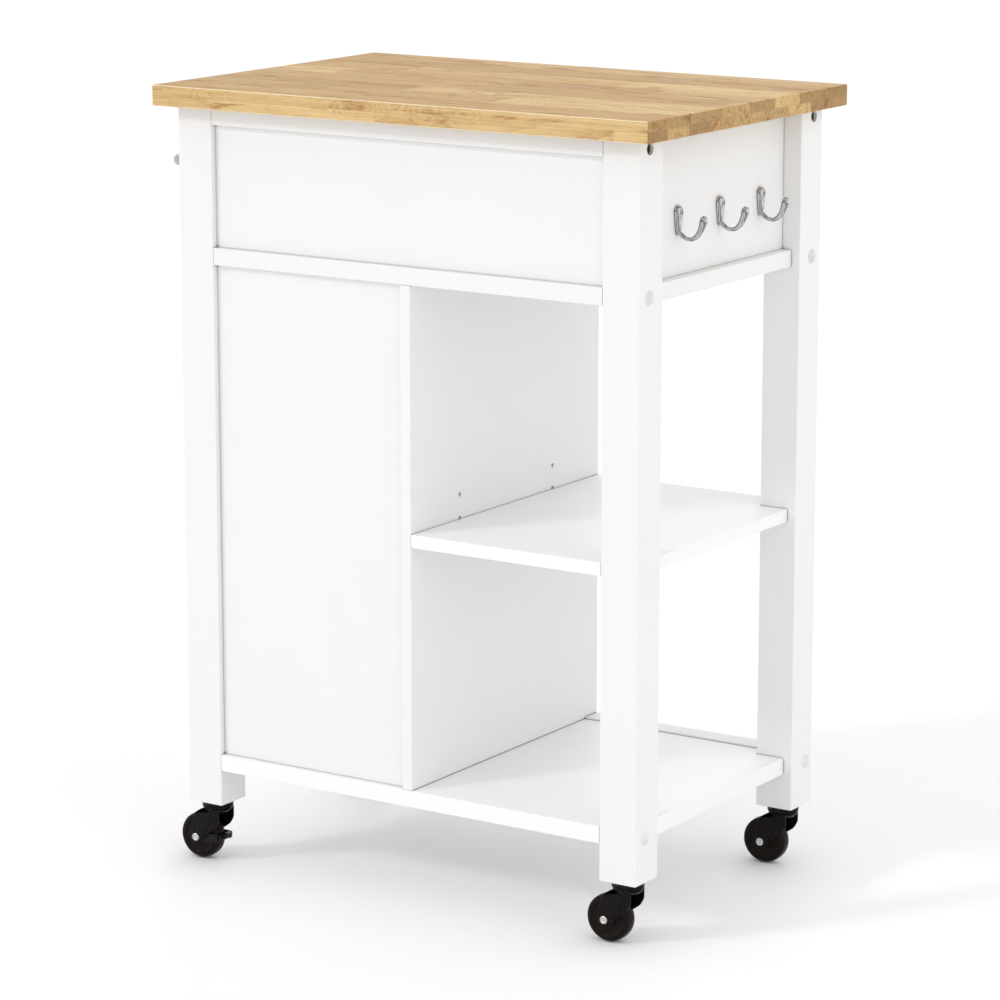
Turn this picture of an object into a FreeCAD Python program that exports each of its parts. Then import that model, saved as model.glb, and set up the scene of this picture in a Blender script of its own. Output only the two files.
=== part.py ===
import math
import os

import FreeCAD
import Part
import Sketcher

# Kitchen island cart, millimetres.
# X runs to the right seen from the front, Y runs from the front to the back, Z is up.
# The origin lies on the floor under the middle of the worktop.

doc = FreeCAD.newDocument("kitchen_island_cart")
sheet = doc.addObject("Spreadsheet::Sheet", "dims")
nodes = {}


class Dim:
    """A length that knows its value and the spreadsheet expression it comes from."""

    def __init__(self, value, text):
        self.value = float(value)
        self.text = text

    def __add__(self, other):
        other = as_dim(other)
        return Dim(self.value + other.value, "(%s + %s)" % (self.text, other.text))

    def __sub__(self, other):
        other = as_dim(other)
        return Dim(self.value - other.value, "(%s - %s)" % (self.text, other.text))

    def __mul__(self, other):
        other = as_dim(other)
        return Dim(self.value * other.value, "(%s * %s)" % (self.text, other.text))

    def __truediv__(self, other):
        other = as_dim(other)
        return Dim(self.value / other.value, "(%s / %s)" % (self.text, other.text))

    def __neg__(self):
        return Dim(-self.value, "(0 - %s)" % self.text)

    def __radd__(self, other):
        return as_dim(other) + self

    def __rsub__(self, other):
        return as_dim(other) - self

    def __rmul__(self, other):
        return as_dim(other) * self


def as_dim(number):
    """Turn a plain number into a Dim; leave a Dim alone."""
    if isinstance(number, Dim):
        return number
    return Dim(number, "%.6g" % number)


def dim(alias, value, note):
    """Put one driving dimension in the spreadsheet and return it."""
    row = dim.row
    dim.row += 1
    sheet.set("A%d" % row, alias)
    sheet.set("B%d" % row, "%g" % value)
    sheet.set("C%d" % row, note)
    sheet.setAlias("B%d" % row, alias)
    return Dim(value, "dims." + alias)


dim.row = 1

# ---------------------------------------------------------------- driving dimensions
total_height = dim("total_height", 840, "floor to worktop surface")
top_length = dim("top_length", 600, "worktop, left to right")
top_depth = dim("top_depth", 400, "worktop, front to back")
top_thick = dim("top_thick", 22, "worktop thickness")
frame_length = dim("frame_length", 562, "over the outer faces of the posts")
frame_depth = dim("frame_depth", 362, "over the front and back faces of the posts")
post_size = dim("post_size", 43, "square posts")
post_foot = dim("post_foot", 68, "underside of the posts above the floor")
edge_ease = dim("edge_ease", 1.2, "rounding on painted edges")
board_ease = dim("board_ease", 0.9, "rounding on board and shelf edges")
board_thick = dim("board_thick", 18, "frame boards and rails")
board_inset = dim("board_inset", 10, "board ends set back from the post sides")
mid_level = dim("mid_level", 672, "top of the board under the drawer")
bottom_level = dim("bottom_level", 125, "top of the bottom board")
rail_width = dim("rail_width", 35, "top rails, front to back")
lip_width = dim("lip_width", 25, "bottom front rail, front to back")
lip_rise = dim("lip_rise", 2, "bottom front rail above the bottom board")
panel_thick = dim("panel_thick", 9, "back panels")
panel_inset = dim("panel_inset", 7, "back panels set back from the posts")
side_thick = dim("side_thick", 12, "side panels and divider")
side_inset = dim("side_inset", 21, "side panels set back from the posts")
divider_right = dim("divider_right", 2, "right face of the divider")
shelf_level = dim("shelf_level", 397, "top of both shelves")
shelf_thick = dim("shelf_thick", 14, "shelves")
pin_front = dim("pin_front", -88, "front row of shelf pin holes")
pin_back = dim("pin_back", 91, "back row of shelf pin holes")
pin_pitch = dim("pin_pitch", 25, "shelf pin holes, spacing in height")
pin_dia = dim("pin_dia", 5, "shelf pin")
pin_drop = dim("pin_drop", 10, "pin centre below the shelf underside")
bolt_edge = dim("bolt_edge", 17.5, "frame screws from the front or back face")
bolt_head = dim("bolt_head", 12, "frame screw head")
bolt_shank = dim("bolt_shank", 6, "frame screw shank")
bolt_length = dim("bolt_length", 65, "frame screw under its head")
bolt_sink = dim("bolt_sink", 8, "frame screw head recess")
cap_dia = dim("cap_dia", 15.5, "screw cap")
cap_rise = dim("cap_rise", 3, "screw cap dome")
front_gap = dim("front_gap", 2, "gap round the drawer front and the door")
door_thick = dim("door_thick", 16, "door panel")
drawer_front_thick = dim("drawer_front_thick", 18, "drawer front")
drawer_side_thick = dim("drawer_side_thick", 12, "drawer sides and back")
drawer_height = dim("drawer_height", 90, "drawer sides")
drawer_lift = dim("drawer_lift", 10, "drawer box above the board under it")
drawer_back_y = dim("drawer_back_y", 150, "outer face of the drawer back")
runner_space = dim("runner_space", 13, "width taken by one drawer runner")
runner_height = dim("runner_height", 35, "drawer runner profile")
runner_sheet = dim("runner_sheet", 1.2, "drawer runner steel")
hinge_height = dim("hinge_height", 50, "hinge leaf height")
hinge_leaf = dim("hinge_leaf", 0.9, "hinge leaf thickness")
hinge_barrel = dim("hinge_barrel", 6, "hinge knuckle")
hinge_pin = dim("hinge_pin", 3, "hinge pin")
hinge_end = dim("hinge_end", 70, "hinge centre from the door end")
hook_pitch = dim("hook_pitch", 82.5, "spacing of the three hooks")
hook_shift = dim("hook_shift", -6, "middle hook from the middle of the panel")
hook_top = dim("hook_top", 743, "top of the hook plates")
towel_level = dim("towel_level", 751, "towel bar axis height")
towel_reach = dim("towel_reach", 75, "towel bar axis from its panel")
towel_legs = dim("towel_legs", 244, "towel bar legs, centre to centre")
towel_dia = dim("towel_dia", 12, "towel bar")
wheel_dia = dim("wheel_dia", 50, "caster wheel")
wheel_width = dim("wheel_width", 18, "caster wheel tread")
wheel_trail = dim("wheel_trail", 20, "caster axle behind the swivel axis")
fork_gap = dim("fork_gap", 24.4, "between the caster fork arms")
fork_sheet = dim("fork_sheet", 2, "caster fork steel")
axle_dia = dim("axle_dia", 6, "caster axle")
doc.recompute()

# ---------------------------------------------------------------- derived positions
top_under = total_height - top_thick
post_x = frame_length / 2
post_y = frame_depth / 2
inner_x = post_x - post_size
inner_y = post_y - post_size
board_x = post_x - board_inset
rail_bottom = top_under - board_thick
mid_under = mid_level - board_thick
bottom_under = bottom_level - board_thick
shelf_under = shelf_level - shelf_thick
divider_left = divider_right - side_thick
side_out = post_x - side_inset
side_in = side_out - side_thick
back_out = post_y - panel_inset
back_in = back_out - panel_thick
caster_x = post_x - post_size / 2
caster_y = post_y - post_size / 2


# ---------------------------------------------------------------- building helpers
def bind(obj, prop, value):
    """Set a property and tie it to the spreadsheet."""
    value = as_dim(value)
    obj.setExpression(prop, value.text)


def place(obj, x, y, z):
    """Move an object to a point given by driving dimensions."""
    for axis, value in (("x", x), ("y", y), ("z", z)):
        bind(obj, "Placement.Base." + axis, value)


def origin_plane(body, role):
    """One of the origin planes of a body."""
    for feature in body.Origin.OriginFeatures:
        if feature.Role == role:
            return feature
    raise ValueError(role)


def new_body(label):
    """An empty design body."""
    body = doc.addObject("PartDesign::Body", label)
    body.Label = label
    return body


def outline(body, plane, points, offset=0):
    """A closed straight-sided sketch whose corners follow the spreadsheet."""
    sketch = body.newObject("Sketcher::SketchObject", body.Name + "_outline")
    sketch.AttachmentSupport = [(origin_plane(body, plane), "")]
    sketch.MapMode = "FlatFace"
    bind(sketch, "AttachmentOffset.Base.z", offset)
    corners = [(as_dim(u), as_dim(v)) for u, v in points]
    count = len(corners)
    for index in range(count):
        first = corners[index]
        last = corners[(index + 1) % count]
        start = FreeCAD.Vector(first[0].value, first[1].value, 0)
        end = FreeCAD.Vector(last[0].value, last[1].value, 0)
        sketch.addGeometry(Part.LineSegment(start, end), False)
    for index in range(count):
        sketch.addConstraint(Sketcher.Constraint("Coincident", index, 2, (index + 1) % count, 1))
    for index, (u, v) in enumerate(corners):
        number = sketch.addConstraint(Sketcher.Constraint("DistanceX", -1, 1, index, 1, u.value))
        sketch.setExpression("Constraints[%d]" % number, u.text)
        number = sketch.addConstraint(Sketcher.Constraint("DistanceY", -1, 1, index, 1, v.value))
        sketch.setExpression("Constraints[%d]" % number, v.text)
    return sketch


def pad(body, sketch, length):
    """Pad a sketch along its normal."""
    feature = body.newObject("PartDesign::Pad", body.Name + "_pad")
    feature.Profile = sketch
    bind(feature, "Length", length)
    body.Tip = feature
    doc.recompute()


def ease(body, radius):
    """Round every edge of the tip of a body."""
    base = body.Tip
    names = ["Edge%d" % (i + 1) for i in range(len(base.Shape.Edges))]
    feature = body.newObject("PartDesign::Fillet", body.Name + "_ease")
    feature.Base = (base, names)
    bind(feature, "Radius", radius)
    body.Tip = feature
    doc.recompute()


def slab(label, x, y, z, rounding=None):
    """A rectangular board between two corners."""
    (x0, x1), (y0, y1), (z0, z1) = x, y, z
    return plate(label, [(x0, y0), (x1, y0), (x1, y1), (x0, y1)], z0, as_dim(z1) - z0, rounding)


def plate(label, points, base, height, rounding=None):
    """A flat board of any straight-sided outline, seen from above."""
    body = new_body(label)
    pad(body, outline(body, "XY_Plane", points, base), height)
    if rounding is not None:
        ease(body, rounding)
    return body


def side_plate(label, points, start, width):
    """A profile in the XZ plane, extruded towards the back."""
    body = new_body(label)
    sketch = outline(body, "XZ_Plane", points, -(as_dim(start) + width))
    pad(body, sketch, width)
    return body


def turned(label, profile):
    """A turned piece: (radius, height) points revolved about the Z axis."""
    body = new_body(label)
    sketch = outline(body, "XZ_Plane", profile)
    feature = body.newObject("PartDesign::Revolution", body.Name + "_turn")
    feature.Profile = sketch
    feature.ReferenceAxis = (sketch, ["V_Axis"])
    feature.Angle = 360
    body.Tip = feature
    doc.recompute()
    return body


DIRECTIONS = {
    "+x": FreeCAD.Rotation(FreeCAD.Vector(0, 1, 0), 90),
    "-x": FreeCAD.Rotation(FreeCAD.Vector(0, 1, 0), -90),
    "+y": FreeCAD.Rotation(FreeCAD.Vector(1, 0, 0), -90),
    "-y": FreeCAD.Rotation(FreeCAD.Vector(1, 0, 0), 90),
    "+z": FreeCAD.Rotation(),
    "-z": FreeCAD.Rotation(FreeCAD.Vector(1, 0, 0), 180),
}


def rod(diameter, length, x, y, z, direction):
    """A round bar or drill from a point in one of the six directions."""
    bar = doc.addObject("Part::Cylinder", "rod")
    bind(bar, "Radius", as_dim(diameter) / 2)
    bind(bar, "Height", length)
    bar.Placement = FreeCAD.Placement(FreeCAD.Vector(), DIRECTIONS[direction])
    place(bar, x, y, z)
    return bar


def taper(small, large, length, x, y, z, direction):
    """A cone from its small end at a point in one of the six directions."""
    cone = doc.addObject("Part::Cone", "taper")
    bind(cone, "Radius1", as_dim(small) / 2)
    bind(cone, "Radius2", as_dim(large) / 2)
    bind(cone, "Height", length)
    cone.Placement = FreeCAD.Placement(FreeCAD.Vector(), DIRECTIONS[direction])
    place(cone, x, y, z)
    return cone


def brick(x, y, z):
    """A plain block between two corners, used as a cutting tool or small metal part."""
    (x0, x1), (y0, y1), (z0, z1) = x, y, z
    block = doc.addObject("Part::Box", "brick")
    bind(block, "Length", as_dim(x1) - x0)
    bind(block, "Width", as_dim(y1) - y0)
    bind(block, "Height", as_dim(z1) - z0)
    place(block, x0, y0, z0)
    return block


def joined(label, pieces):
    """Several overlapping solids made into one."""
    fusion = doc.addObject("Part::MultiFuse", label)
    fusion.Shapes = pieces
    fusion.Label = label
    doc.recompute()
    return fusion


def group(label, pieces):
    """Separate solids kept together under one name."""
    compound = doc.addObject("Part::Compound", label)
    compound.Links = pieces
    compound.Label = label
    doc.recompute()
    return compound


def cut(label, base, tools):
    """A solid with holes or recesses taken out."""
    tool = tools[0] if len(tools) == 1 else group(label + "_cutters", tools)
    result = doc.addObject("Part::Cut", label)
    base.Label = label + "_blank"
    result.Base = base
    result.Tool = tool
    result.Label = label
    doc.recompute()
    return result


def node(obj):
    """Register a finished piece under its own label."""
    nodes[obj.Label] = obj


def sunk_screw(x, y, z, direction, size):
    """A countersunk screw, its head flush at the given point, pointing along direction."""
    head, shank, length = size
    sign = 1 if direction[0] == "+" else -1
    axis = direction[1]
    depth = (as_dim(head) - shank) / 2
    start = {"x": as_dim(x), "y": as_dim(y), "z": as_dim(z)}
    tip = dict(start)
    tip[axis] = start[axis] + depth * sign
    opposite = ("-" if sign > 0 else "+") + axis
    cone = taper(shank, head, depth, tip["x"], tip["y"], tip["z"], opposite)
    shaft = rod(shank, as_dim(length) - depth, tip["x"], tip["y"], tip["z"], direction)
    return joined("sunk_screw", [cone, shaft])


def pan_screw(x, y, z, direction, length):
    """A pan-head screw whose head sits on the face at the given point."""
    opposite = ("-" if direction[0] == "+" else "+") + direction[1]
    head = rod(PAN_HEAD, PAN_HEAD_TALL, x, y, z, opposite)
    shank = rod(PAN_SHANK, length, x, y, z, direction)
    return joined("pan_screw", [head, shank])


# ---------------------------------------------------------------- fasteners
# Countersunk screws: head diameter, shank diameter, length.
WORKTOP_SCREW = (9, 4.5, 33)
HOOK_SCREW = (7, 3.5, 14)
HINGE_SCREW = (5, 2.5, 14)
STRIKE_SCREW = (5.5, 3, 10)
# Pan-head screws of the knobs and the towel bar.
PAN_HEAD = 8
PAN_HEAD_TALL = 2.5
PAN_SHANK = 4

SIDES = ((1, "right"), (-1, "left"))
ENDS = ((-1, "front"), (1, "back"))
CORNERS = [(sx, sy, "%s_%s" % (end, side)) for sy, end in ENDS for sx, side in SIDES]

bolt_head_tall = 4
bolt_socket = 5
bolt_socket_deep = 2.5
bolt_recess_room = 0.5
bolt_rows = {
    "rail": (top_under - board_thick / 2, bolt_edge),
    "mid": (mid_level - board_thick / 2, bolt_edge),
    "bottom": (bottom_level - board_thick / 2, bolt_edge),
    "lip": (bottom_level - board_thick / 2, lip_width / 2),
}


def frame_screw(sx, sy, row):
    """One long frame screw through a post into the end of a rail or board."""
    level, edge = bolt_rows[row]
    inward = "-x" if sx > 0 else "+x"
    y = (post_y - edge) * sy
    seat = (post_x - bolt_sink) * sx
    head_face = (post_x - bolt_sink + bolt_head_tall) * sx
    head = rod(bolt_head, bolt_head_tall, head_face, y, level, inward)
    shank = rod(bolt_shank, bolt_length, seat, y, level, inward)
    screw = joined("frame_screw", [head, shank])
    socket = rod(bolt_socket, bolt_socket_deep, head_face, y, level, inward)
    return cut("frame_screw", screw, [socket])


def frame_screw_drills(sx, sy, row):
    """The recess and the hole one frame screw needs."""
    level, edge = bolt_rows[row]
    inward = "-x" if sx > 0 else "+x"
    y = (post_y - edge) * sy
    seat = (post_x - bolt_sink) * sx
    recess = rod(bolt_head + bolt_recess_room, bolt_sink, post_x * sx, y, level, inward)
    hole = rod(bolt_shank, bolt_length, seat, y, level, inward)
    return [recess, hole]


def bottom_row(sy):
    """The bottom screws go into the front rail at the front, into the board at the back."""
    return "lip" if sy < 0 else "bottom"


frame_screws = []
for sx, sy, corner in CORNERS:
    for row in ("rail", "mid", bottom_row(sy)):
        frame_screws.append(frame_screw(sx, sy, row))
node(group("frame_screws", frame_screws))

# ---------------------------------------------------------------- worktop
worktop_ease = 1.5
worktop_screw_x = 150
worktop_blank = slab(
    "worktop",
    (-top_length / 2, top_length / 2),
    (-top_depth / 2, top_depth / 2),
    (top_under, total_height),
    worktop_ease,
)
worktop_screws = []
worktop_drills = []
rail_drills = {"front": [], "back": []}
for sy, end in ENDS:
    for sx, side in SIDES:
        spot = (worktop_screw_x * sx, (post_y - bolt_edge) * sy, rail_bottom)
        worktop_screws.append(sunk_screw(*spot, "+z", WORKTOP_SCREW))
        worktop_drills.append(sunk_screw(*spot, "+z", WORKTOP_SCREW))
        rail_drills[end].append(sunk_screw(*spot, "+z", WORKTOP_SCREW))
node(cut("worktop", worktop_blank, worktop_drills))
node(group("worktop_screws", worktop_screws))

# ---------------------------------------------------------------- posts
hinge_levels = (
    bottom_level + lip_rise + front_gap + hinge_end,
    mid_under - front_gap - hinge_end,
)
hinge_x = inner_x - front_gap / 2
hinge_y = -(post_y + hinge_barrel / 2)
leaf_depth = 22
hinge_screw_y = leaf_depth / 2 - post_y
hinge_screw_offsets = (-15, 0, 15)


def post_leaf_screws():
    """Screws holding the hinge leaves to the front right post."""
    screws = []
    for level in hinge_levels:
        for offset in hinge_screw_offsets:
            face = inner_x - hinge_leaf
            screws.append(sunk_screw(face, hinge_screw_y, level + offset, "+x", HINGE_SCREW))
    return screws


def shelf_pin_hole(x, y, direction):
    """Blind hole that takes one shelf support."""
    return rod(pin_dia, pin_deep, x, y, shelf_under - pin_drop, direction)


pin_deep = 5
stem_dia = 8
stem_depth = 24
for sx, sy, corner in CORNERS:
    x0, x1 = (inner_x, post_x) if sx > 0 else (-post_x, -inner_x)
    y0, y1 = (inner_y, post_y) if sy > 0 else (-post_y, -inner_y)
    label = "post_" + corner
    blank = slab(label, (x0, x1), (y0, y1), (post_foot, top_under), edge_ease)
    tools = [rod(stem_dia, stem_depth, caster_x * sx, caster_y * sy, post_foot, "+z")]
    for row in ("rail", "mid", bottom_row(sy)):
        tools += frame_screw_drills(sx, sy, row)
    if corner == "front_right":
        tools += post_leaf_screws()
    if sx < 0:
        tools.append(shelf_pin_hole(-inner_x, caster_y * sy, "-x"))
    node(cut(label, blank, tools))

# ---------------------------------------------------------------- rails and boards
for sy, end in ENDS:
    y0, y1 = (post_y - rail_width, post_y) if sy > 0 else (-post_y, rail_width - post_y)
    label = end + "_top_rail"
    blank = slab(label, (-inner_x, inner_x), (y0, y1), (rail_bottom, top_under), board_ease)
    tools = list(rail_drills[end])
    for sx, side in SIDES:
        tools.append(frame_screw_drills(sx, sy, "rail")[1])
    node(cut(label, blank, tools))

mid_outline = [
    (-inner_x, -post_y), (inner_x, -post_y), (inner_x, -inner_y), (board_x, -inner_y),
    (board_x, inner_y), (inner_x, inner_y), (inner_x, post_y), (-inner_x, post_y),
    (-inner_x, inner_y), (-board_x, inner_y), (-board_x, -inner_y), (-inner_x, -inner_y),
]
mid_drills = [frame_screw_drills(sx, sy, "mid")[1] for sx, sy, corner in CORNERS]
mid_blank = plate("mid_board", mid_outline, mid_under, board_thick, board_ease)
node(cut("mid_board", mid_blank, mid_drills))

lip_back = lip_width - post_y
bottom_outline = [
    (-inner_x, lip_back), (inner_x, lip_back), (inner_x, -inner_y), (board_x, -inner_y),
    (board_x, inner_y), (inner_x, inner_y), (inner_x, post_y), (-inner_x, post_y),
    (-inner_x, inner_y), (-board_x, inner_y), (-board_x, -inner_y), (-inner_x, -inner_y),
]
bottom_drills = [frame_screw_drills(sx, 1, "bottom")[1] for sx, side in SIDES]
bottom_blank = plate("bottom_board", bottom_outline, bottom_under, board_thick, board_ease)
node(cut("bottom_board", bottom_blank, bottom_drills))

lip_blank = slab(
    "bottom_front_rail",
    (-inner_x, inner_x), (-post_y, lip_back), (bottom_under, bottom_level + lip_rise), board_ease,
)
lip_drills = [frame_screw_drills(sx, -1, "lip")[1] for sx, side in SIDES]
node(cut("bottom_front_rail", lip_blank, lip_drills))

# ---------------------------------------------------------------- fixed panels
node(slab("upper_back_panel", (-inner_x, inner_x), (back_in, back_out), (mid_level, rail_bottom)))
node(slab(
    "cabinet_back_panel",
    (divider_right, inner_x), (back_in, back_out), (bottom_level, mid_under),
))

# The divider is notched over the raised front rail.
divider_body = new_body("divider_panel")
divider_outline = [
    (lip_back, bottom_level), (post_y, bottom_level), (post_y, mid_under), (-post_y, mid_under),
    (-post_y, bottom_level + lip_rise), (lip_back, bottom_level + lip_rise),
]
pad(divider_body, outline(divider_body, "YZ_Plane", divider_outline, divider_left), side_thick)
ease(divider_body, board_ease)
pin_rows = 3
divider_drills = []
for y in (pin_front, pin_back):
    for step in range(pin_rows):
        level = shelf_under - pin_drop + pin_pitch * step
        divider_drills.append(rod(pin_dia, pin_deep, divider_right, y, level, "-x"))
        divider_drills.append(rod(pin_dia, pin_deep, divider_left, y, level, "+x"))
node(cut("divider_panel", divider_body, divider_drills))

# ---------------------------------------------------------------- side panels, hooks and towel bar
hook_plate = 4
hook_screw_drop = 8
plate_upper = 6.2
plate_lower = 3.6
plate_length = 30
plate_rim = 1.4
# prong centre line: distance out from the panel and below the top of the plate
prong_path = ((2, 27.4), (7, 31.6), (16, 33.8), (25.5, 28.6), (30.5, 12.5))
# prong radius along its length
prong_radii = ((0.0, 2.6), (0.35, 2.4), (0.7, 3.4), (1.0, 4.6))
hook_ys = [hook_shift + hook_pitch * step for step in (-1, 0, 1)]


def hook_screw(y):
    """Screw through the top of one hook plate into the side panel."""
    face = -(side_out + hook_plate)
    return sunk_screw(face, y, hook_top - hook_screw_drop, "+x", HOOK_SCREW)


hook_panel = slab(
    "hook_side_panel",
    (-side_out, -side_in), (-inner_y, inner_y), (mid_level, top_under),
)
node(cut("hook_side_panel", hook_panel, [hook_screw(y) for y in hook_ys]))
node(group("hook_screws", [hook_screw(y) for y in hook_ys]))


def hook_plate_solid(y):
    """Back plate of a hook: a rounded bar that narrows towards its lower end."""
    face = -side_out.value
    z_upper = hook_top.value - plate_upper
    z_lower = hook_top.value - plate_length + plate_lower
    # the flanks touch both end circles, so they lean by this angle
    lean = math.asin((plate_upper - plate_lower) / (z_upper - z_lower))
    wide = math.cos(lean)
    rise = math.sin(lean)
    upper_near = FreeCAD.Vector(face, y + plate_upper * wide, z_upper + plate_upper * rise)
    upper_far = FreeCAD.Vector(face, y - plate_upper * wide, z_upper + plate_upper * rise)
    lower_near = FreeCAD.Vector(face, y + plate_lower * wide, z_lower + plate_lower * rise)
    lower_far = FreeCAD.Vector(face, y - plate_lower * wide, z_lower + plate_lower * rise)
    crown = FreeCAD.Vector(face, y, z_upper + plate_upper)
    heel = FreeCAD.Vector(face, y, z_lower - plate_lower)
    edges = [
        Part.Arc(upper_near, crown, upper_far).toShape(),
        Part.LineSegment(upper_far, lower_far).toShape(),
        Part.Arc(lower_far, heel, lower_near).toShape(),
        Part.LineSegment(lower_near, upper_near).toShape(),
    ]
    solid = Part.Face(Part.Wire(edges)).extrude(FreeCAD.Vector(-hook_plate, 0, 0))
    front = face - hook_plate
    rim = [edge for edge in solid.Edges if abs(edge.CenterOfMass.x - front) < 0.01]
    return solid.makeFillet(plate_rim, rim)


def make_hook(y):
    """A cast robe hook: the back plate and a curved prong that thickens to a round tip."""
    face = -side_out.value
    top = hook_top.value
    spline = Part.BSplineCurve()
    spline.interpolate(
        Points=[FreeCAD.Vector(face - out, y, top - drop) for out, drop in prong_path],
    )
    first = spline.FirstParameter
    last = spline.LastParameter
    pipe = Part.BRepOffsetAPI.MakePipeShell(Part.Wire([spline.toShape()]))
    pipe.setFrenetMode(True)
    for share, radius in prong_radii:
        at = first + (last - first) * share
        ring = Part.Circle(spline.value(at), spline.tangent(at)[0], radius)
        pipe.add(Part.Wire([ring.toShape()]))
    pipe.build()
    pipe.makeSolid()
    tip_ball = Part.makeSphere(prong_radii[-1][1], spline.value(last))
    root_ball = Part.makeSphere(prong_radii[0][1], spline.value(first))
    casting = hook_plate_solid(y).fuse([pipe.shape(), tip_ball, root_ball])
    # nothing of the prong reaches behind the panel face
    outside = Part.makeBox(60, 60, 80, FreeCAD.Vector(face - 60, y - 30, top - 70))
    return casting.common(outside).removeSplitter()


hooks = []
for number, y in enumerate(hook_ys):
    casting = doc.addObject("Part::Feature", "hook_casting")
    casting.Shape = make_hook(y.value)
    hooks.append(cut("hook_%d" % (number + 1), casting, [hook_screw(y)]))
node(group("side_hooks", hooks))

towel_bend = 16
towel_foot_dia = 22
towel_foot_tall = 3
towel_bolt_length = 24
towel_x = side_out + towel_reach
towel_half = towel_legs / 2
towel_path = doc.addObject("Sketcher::SketchObject", "towel_path")
path_points = [
    (side_out, -towel_half), (towel_x - towel_bend, -towel_half),
    (towel_x, towel_bend - towel_half), (towel_x, towel_half - towel_bend),
    (towel_x - towel_bend, towel_half), (side_out, towel_half),
]
path_centres = {1: (towel_x - towel_bend, towel_bend - towel_half),
                3: (towel_x - towel_bend, towel_half - towel_bend)}
for index in range(5):
    u0, v0 = path_points[index]
    u1, v1 = path_points[index + 1]
    start = FreeCAD.Vector(u0.value, v0.value, 0)
    end = FreeCAD.Vector(u1.value, v1.value, 0)
    if index in path_centres:
        cu, cv = path_centres[index]
        centre = FreeCAD.Vector(cu.value, cv.value, 0)
        middle = (start + end) * 0.5 - centre
        middle.normalize()
        towel_path.addGeometry(Part.Arc(start, centre + middle * towel_bend, end), False)
    else:
        towel_path.addGeometry(Part.LineSegment(start, end), False)
bind(towel_path, "Placement.Base.z", towel_level)
doc.recompute()
towel_ring = doc.addObject("Part::Circle", "towel_ring")
bind(towel_ring, "Radius", towel_dia / 2)
towel_ring.Placement = FreeCAD.Placement(FreeCAD.Vector(), DIRECTIONS["+x"])
place(towel_ring, side_out, -towel_half, towel_level)
towel_sweep = doc.addObject("Part::Sweep", "towel_sweep")
towel_sweep.Sections = [towel_ring]
towel_sweep.Spine = (towel_path, ["Edge%d" % (i + 1) for i in range(5)])
towel_sweep.Solid = True
towel_sweep.Frenet = True
doc.recompute()
towel_feet = [
    rod(towel_foot_dia, towel_foot_tall, side_out, towel_half * end, towel_level, "+x")
    for end in (-1, 1)
]
towel_bar_blank = joined("towel_bar", [towel_sweep] + towel_feet)


def towel_bolts():
    """Screws from inside the cart into the two towel bar legs."""
    return [
        pan_screw(side_in, towel_half * end, towel_level, "+x", towel_bolt_length)
        for end in (-1, 1)
    ]


node(cut("towel_bar", towel_bar_blank, towel_bolts()))
node(group("towel_bar_screws", towel_bolts()))
towel_panel = slab(
    "towel_side_panel",
    (side_in, side_out), (-inner_y, inner_y), (mid_level, top_under),
)
node(cut("towel_side_panel", towel_panel, towel_bolts()))

cabinet_side = slab(
    "cabinet_side_panel",
    (side_in, side_out), (-inner_y, inner_y), (bottom_level, mid_under),
)
cabinet_side_drills = [shelf_pin_hole(side_in, y, "+x") for y in (pin_front, pin_back)]
node(cut("cabinet_side_panel", cabinet_side, cabinet_side_drills))

# ---------------------------------------------------------------- shelves and their supports
shelf_outline = [
    (-inner_x, -post_y), (divider_left, -post_y), (divider_left, post_y), (-inner_x, post_y),
    (-inner_x, inner_y), (-board_x, inner_y), (-board_x, -inner_y), (-inner_x, -inner_y),
]
node(plate("open_shelf", shelf_outline, shelf_under, shelf_thick, board_ease))
shelf_play = 0.5
node(slab(
    "cabinet_shelf",
    (divider_right + shelf_play, side_in - shelf_play),
    (shelf_play - inner_y, inner_y - shelf_play),
    (shelf_under, shelf_level), board_ease,
))
ledge_reach = 9
ledge_half = 5
ledge_sheet = 1.5
ledge_foot = 4


def shelf_pin(x, y, sign):
    """An L-shaped shelf support; sign tells which way its ledge points along X."""
    level = shelf_under - pin_drop
    stem = rod(pin_dia, pin_deep, x, y, level, "-x" if sign > 0 else "+x")
    back_x = (x, x + ledge_sheet) if sign > 0 else (x - ledge_sheet, x)
    ledge_x = (x, x + ledge_reach) if sign > 0 else (x - ledge_reach, x)
    wide = (as_dim(y) - ledge_half, as_dim(y) + ledge_half)
    back = brick(back_x, wide, (level - ledge_foot, shelf_under))
    ledge = brick(ledge_x, wide, (shelf_under - ledge_sheet, shelf_under))
    return joined("shelf_pin", [stem, back, ledge])


shelf_pins = []
for y in (pin_front, pin_back):
    shelf_pins.append(shelf_pin(divider_right, y, 1))
    shelf_pins.append(shelf_pin(divider_left, y, -1))
    shelf_pins.append(shelf_pin(side_in, y, -1))
for sy, end in ENDS:
    shelf_pins.append(shelf_pin(-inner_x, caster_y * sy, 1))
node(group("shelf_pins", shelf_pins))

# ---------------------------------------------------------------- screw caps
cap_plug = 3
dome_radius = (cap_dia * cap_dia / 4 + cap_rise * cap_rise) / (cap_rise * 2)


def screw_cap(sx, sy, row):
    """A domed plug that covers one frame screw recess."""
    level, edge = bolt_rows[row]
    y = (post_y - edge) * sy
    plug = rod(
        bolt_head - 1, cap_plug, (post_x - cap_plug) * sx, y, level, "+x" if sx > 0 else "-x",
    )
    ball = doc.addObject("Part::Sphere", "cap_ball")
    bind(ball, "Radius", dome_radius)
    place(ball, (post_x + cap_rise - dome_radius) * sx, y, level)
    reach = (post_x, post_x + cap_dia) if sx > 0 else (-post_x - cap_dia, -post_x)
    window = brick(reach, (y - cap_dia, y + cap_dia), (level - cap_dia, level + cap_dia))
    dome = doc.addObject("Part::Common", "cap_dome")
    dome.Base = ball
    dome.Tool = window
    doc.recompute()
    return joined("screw_cap", [plug, dome])


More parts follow.
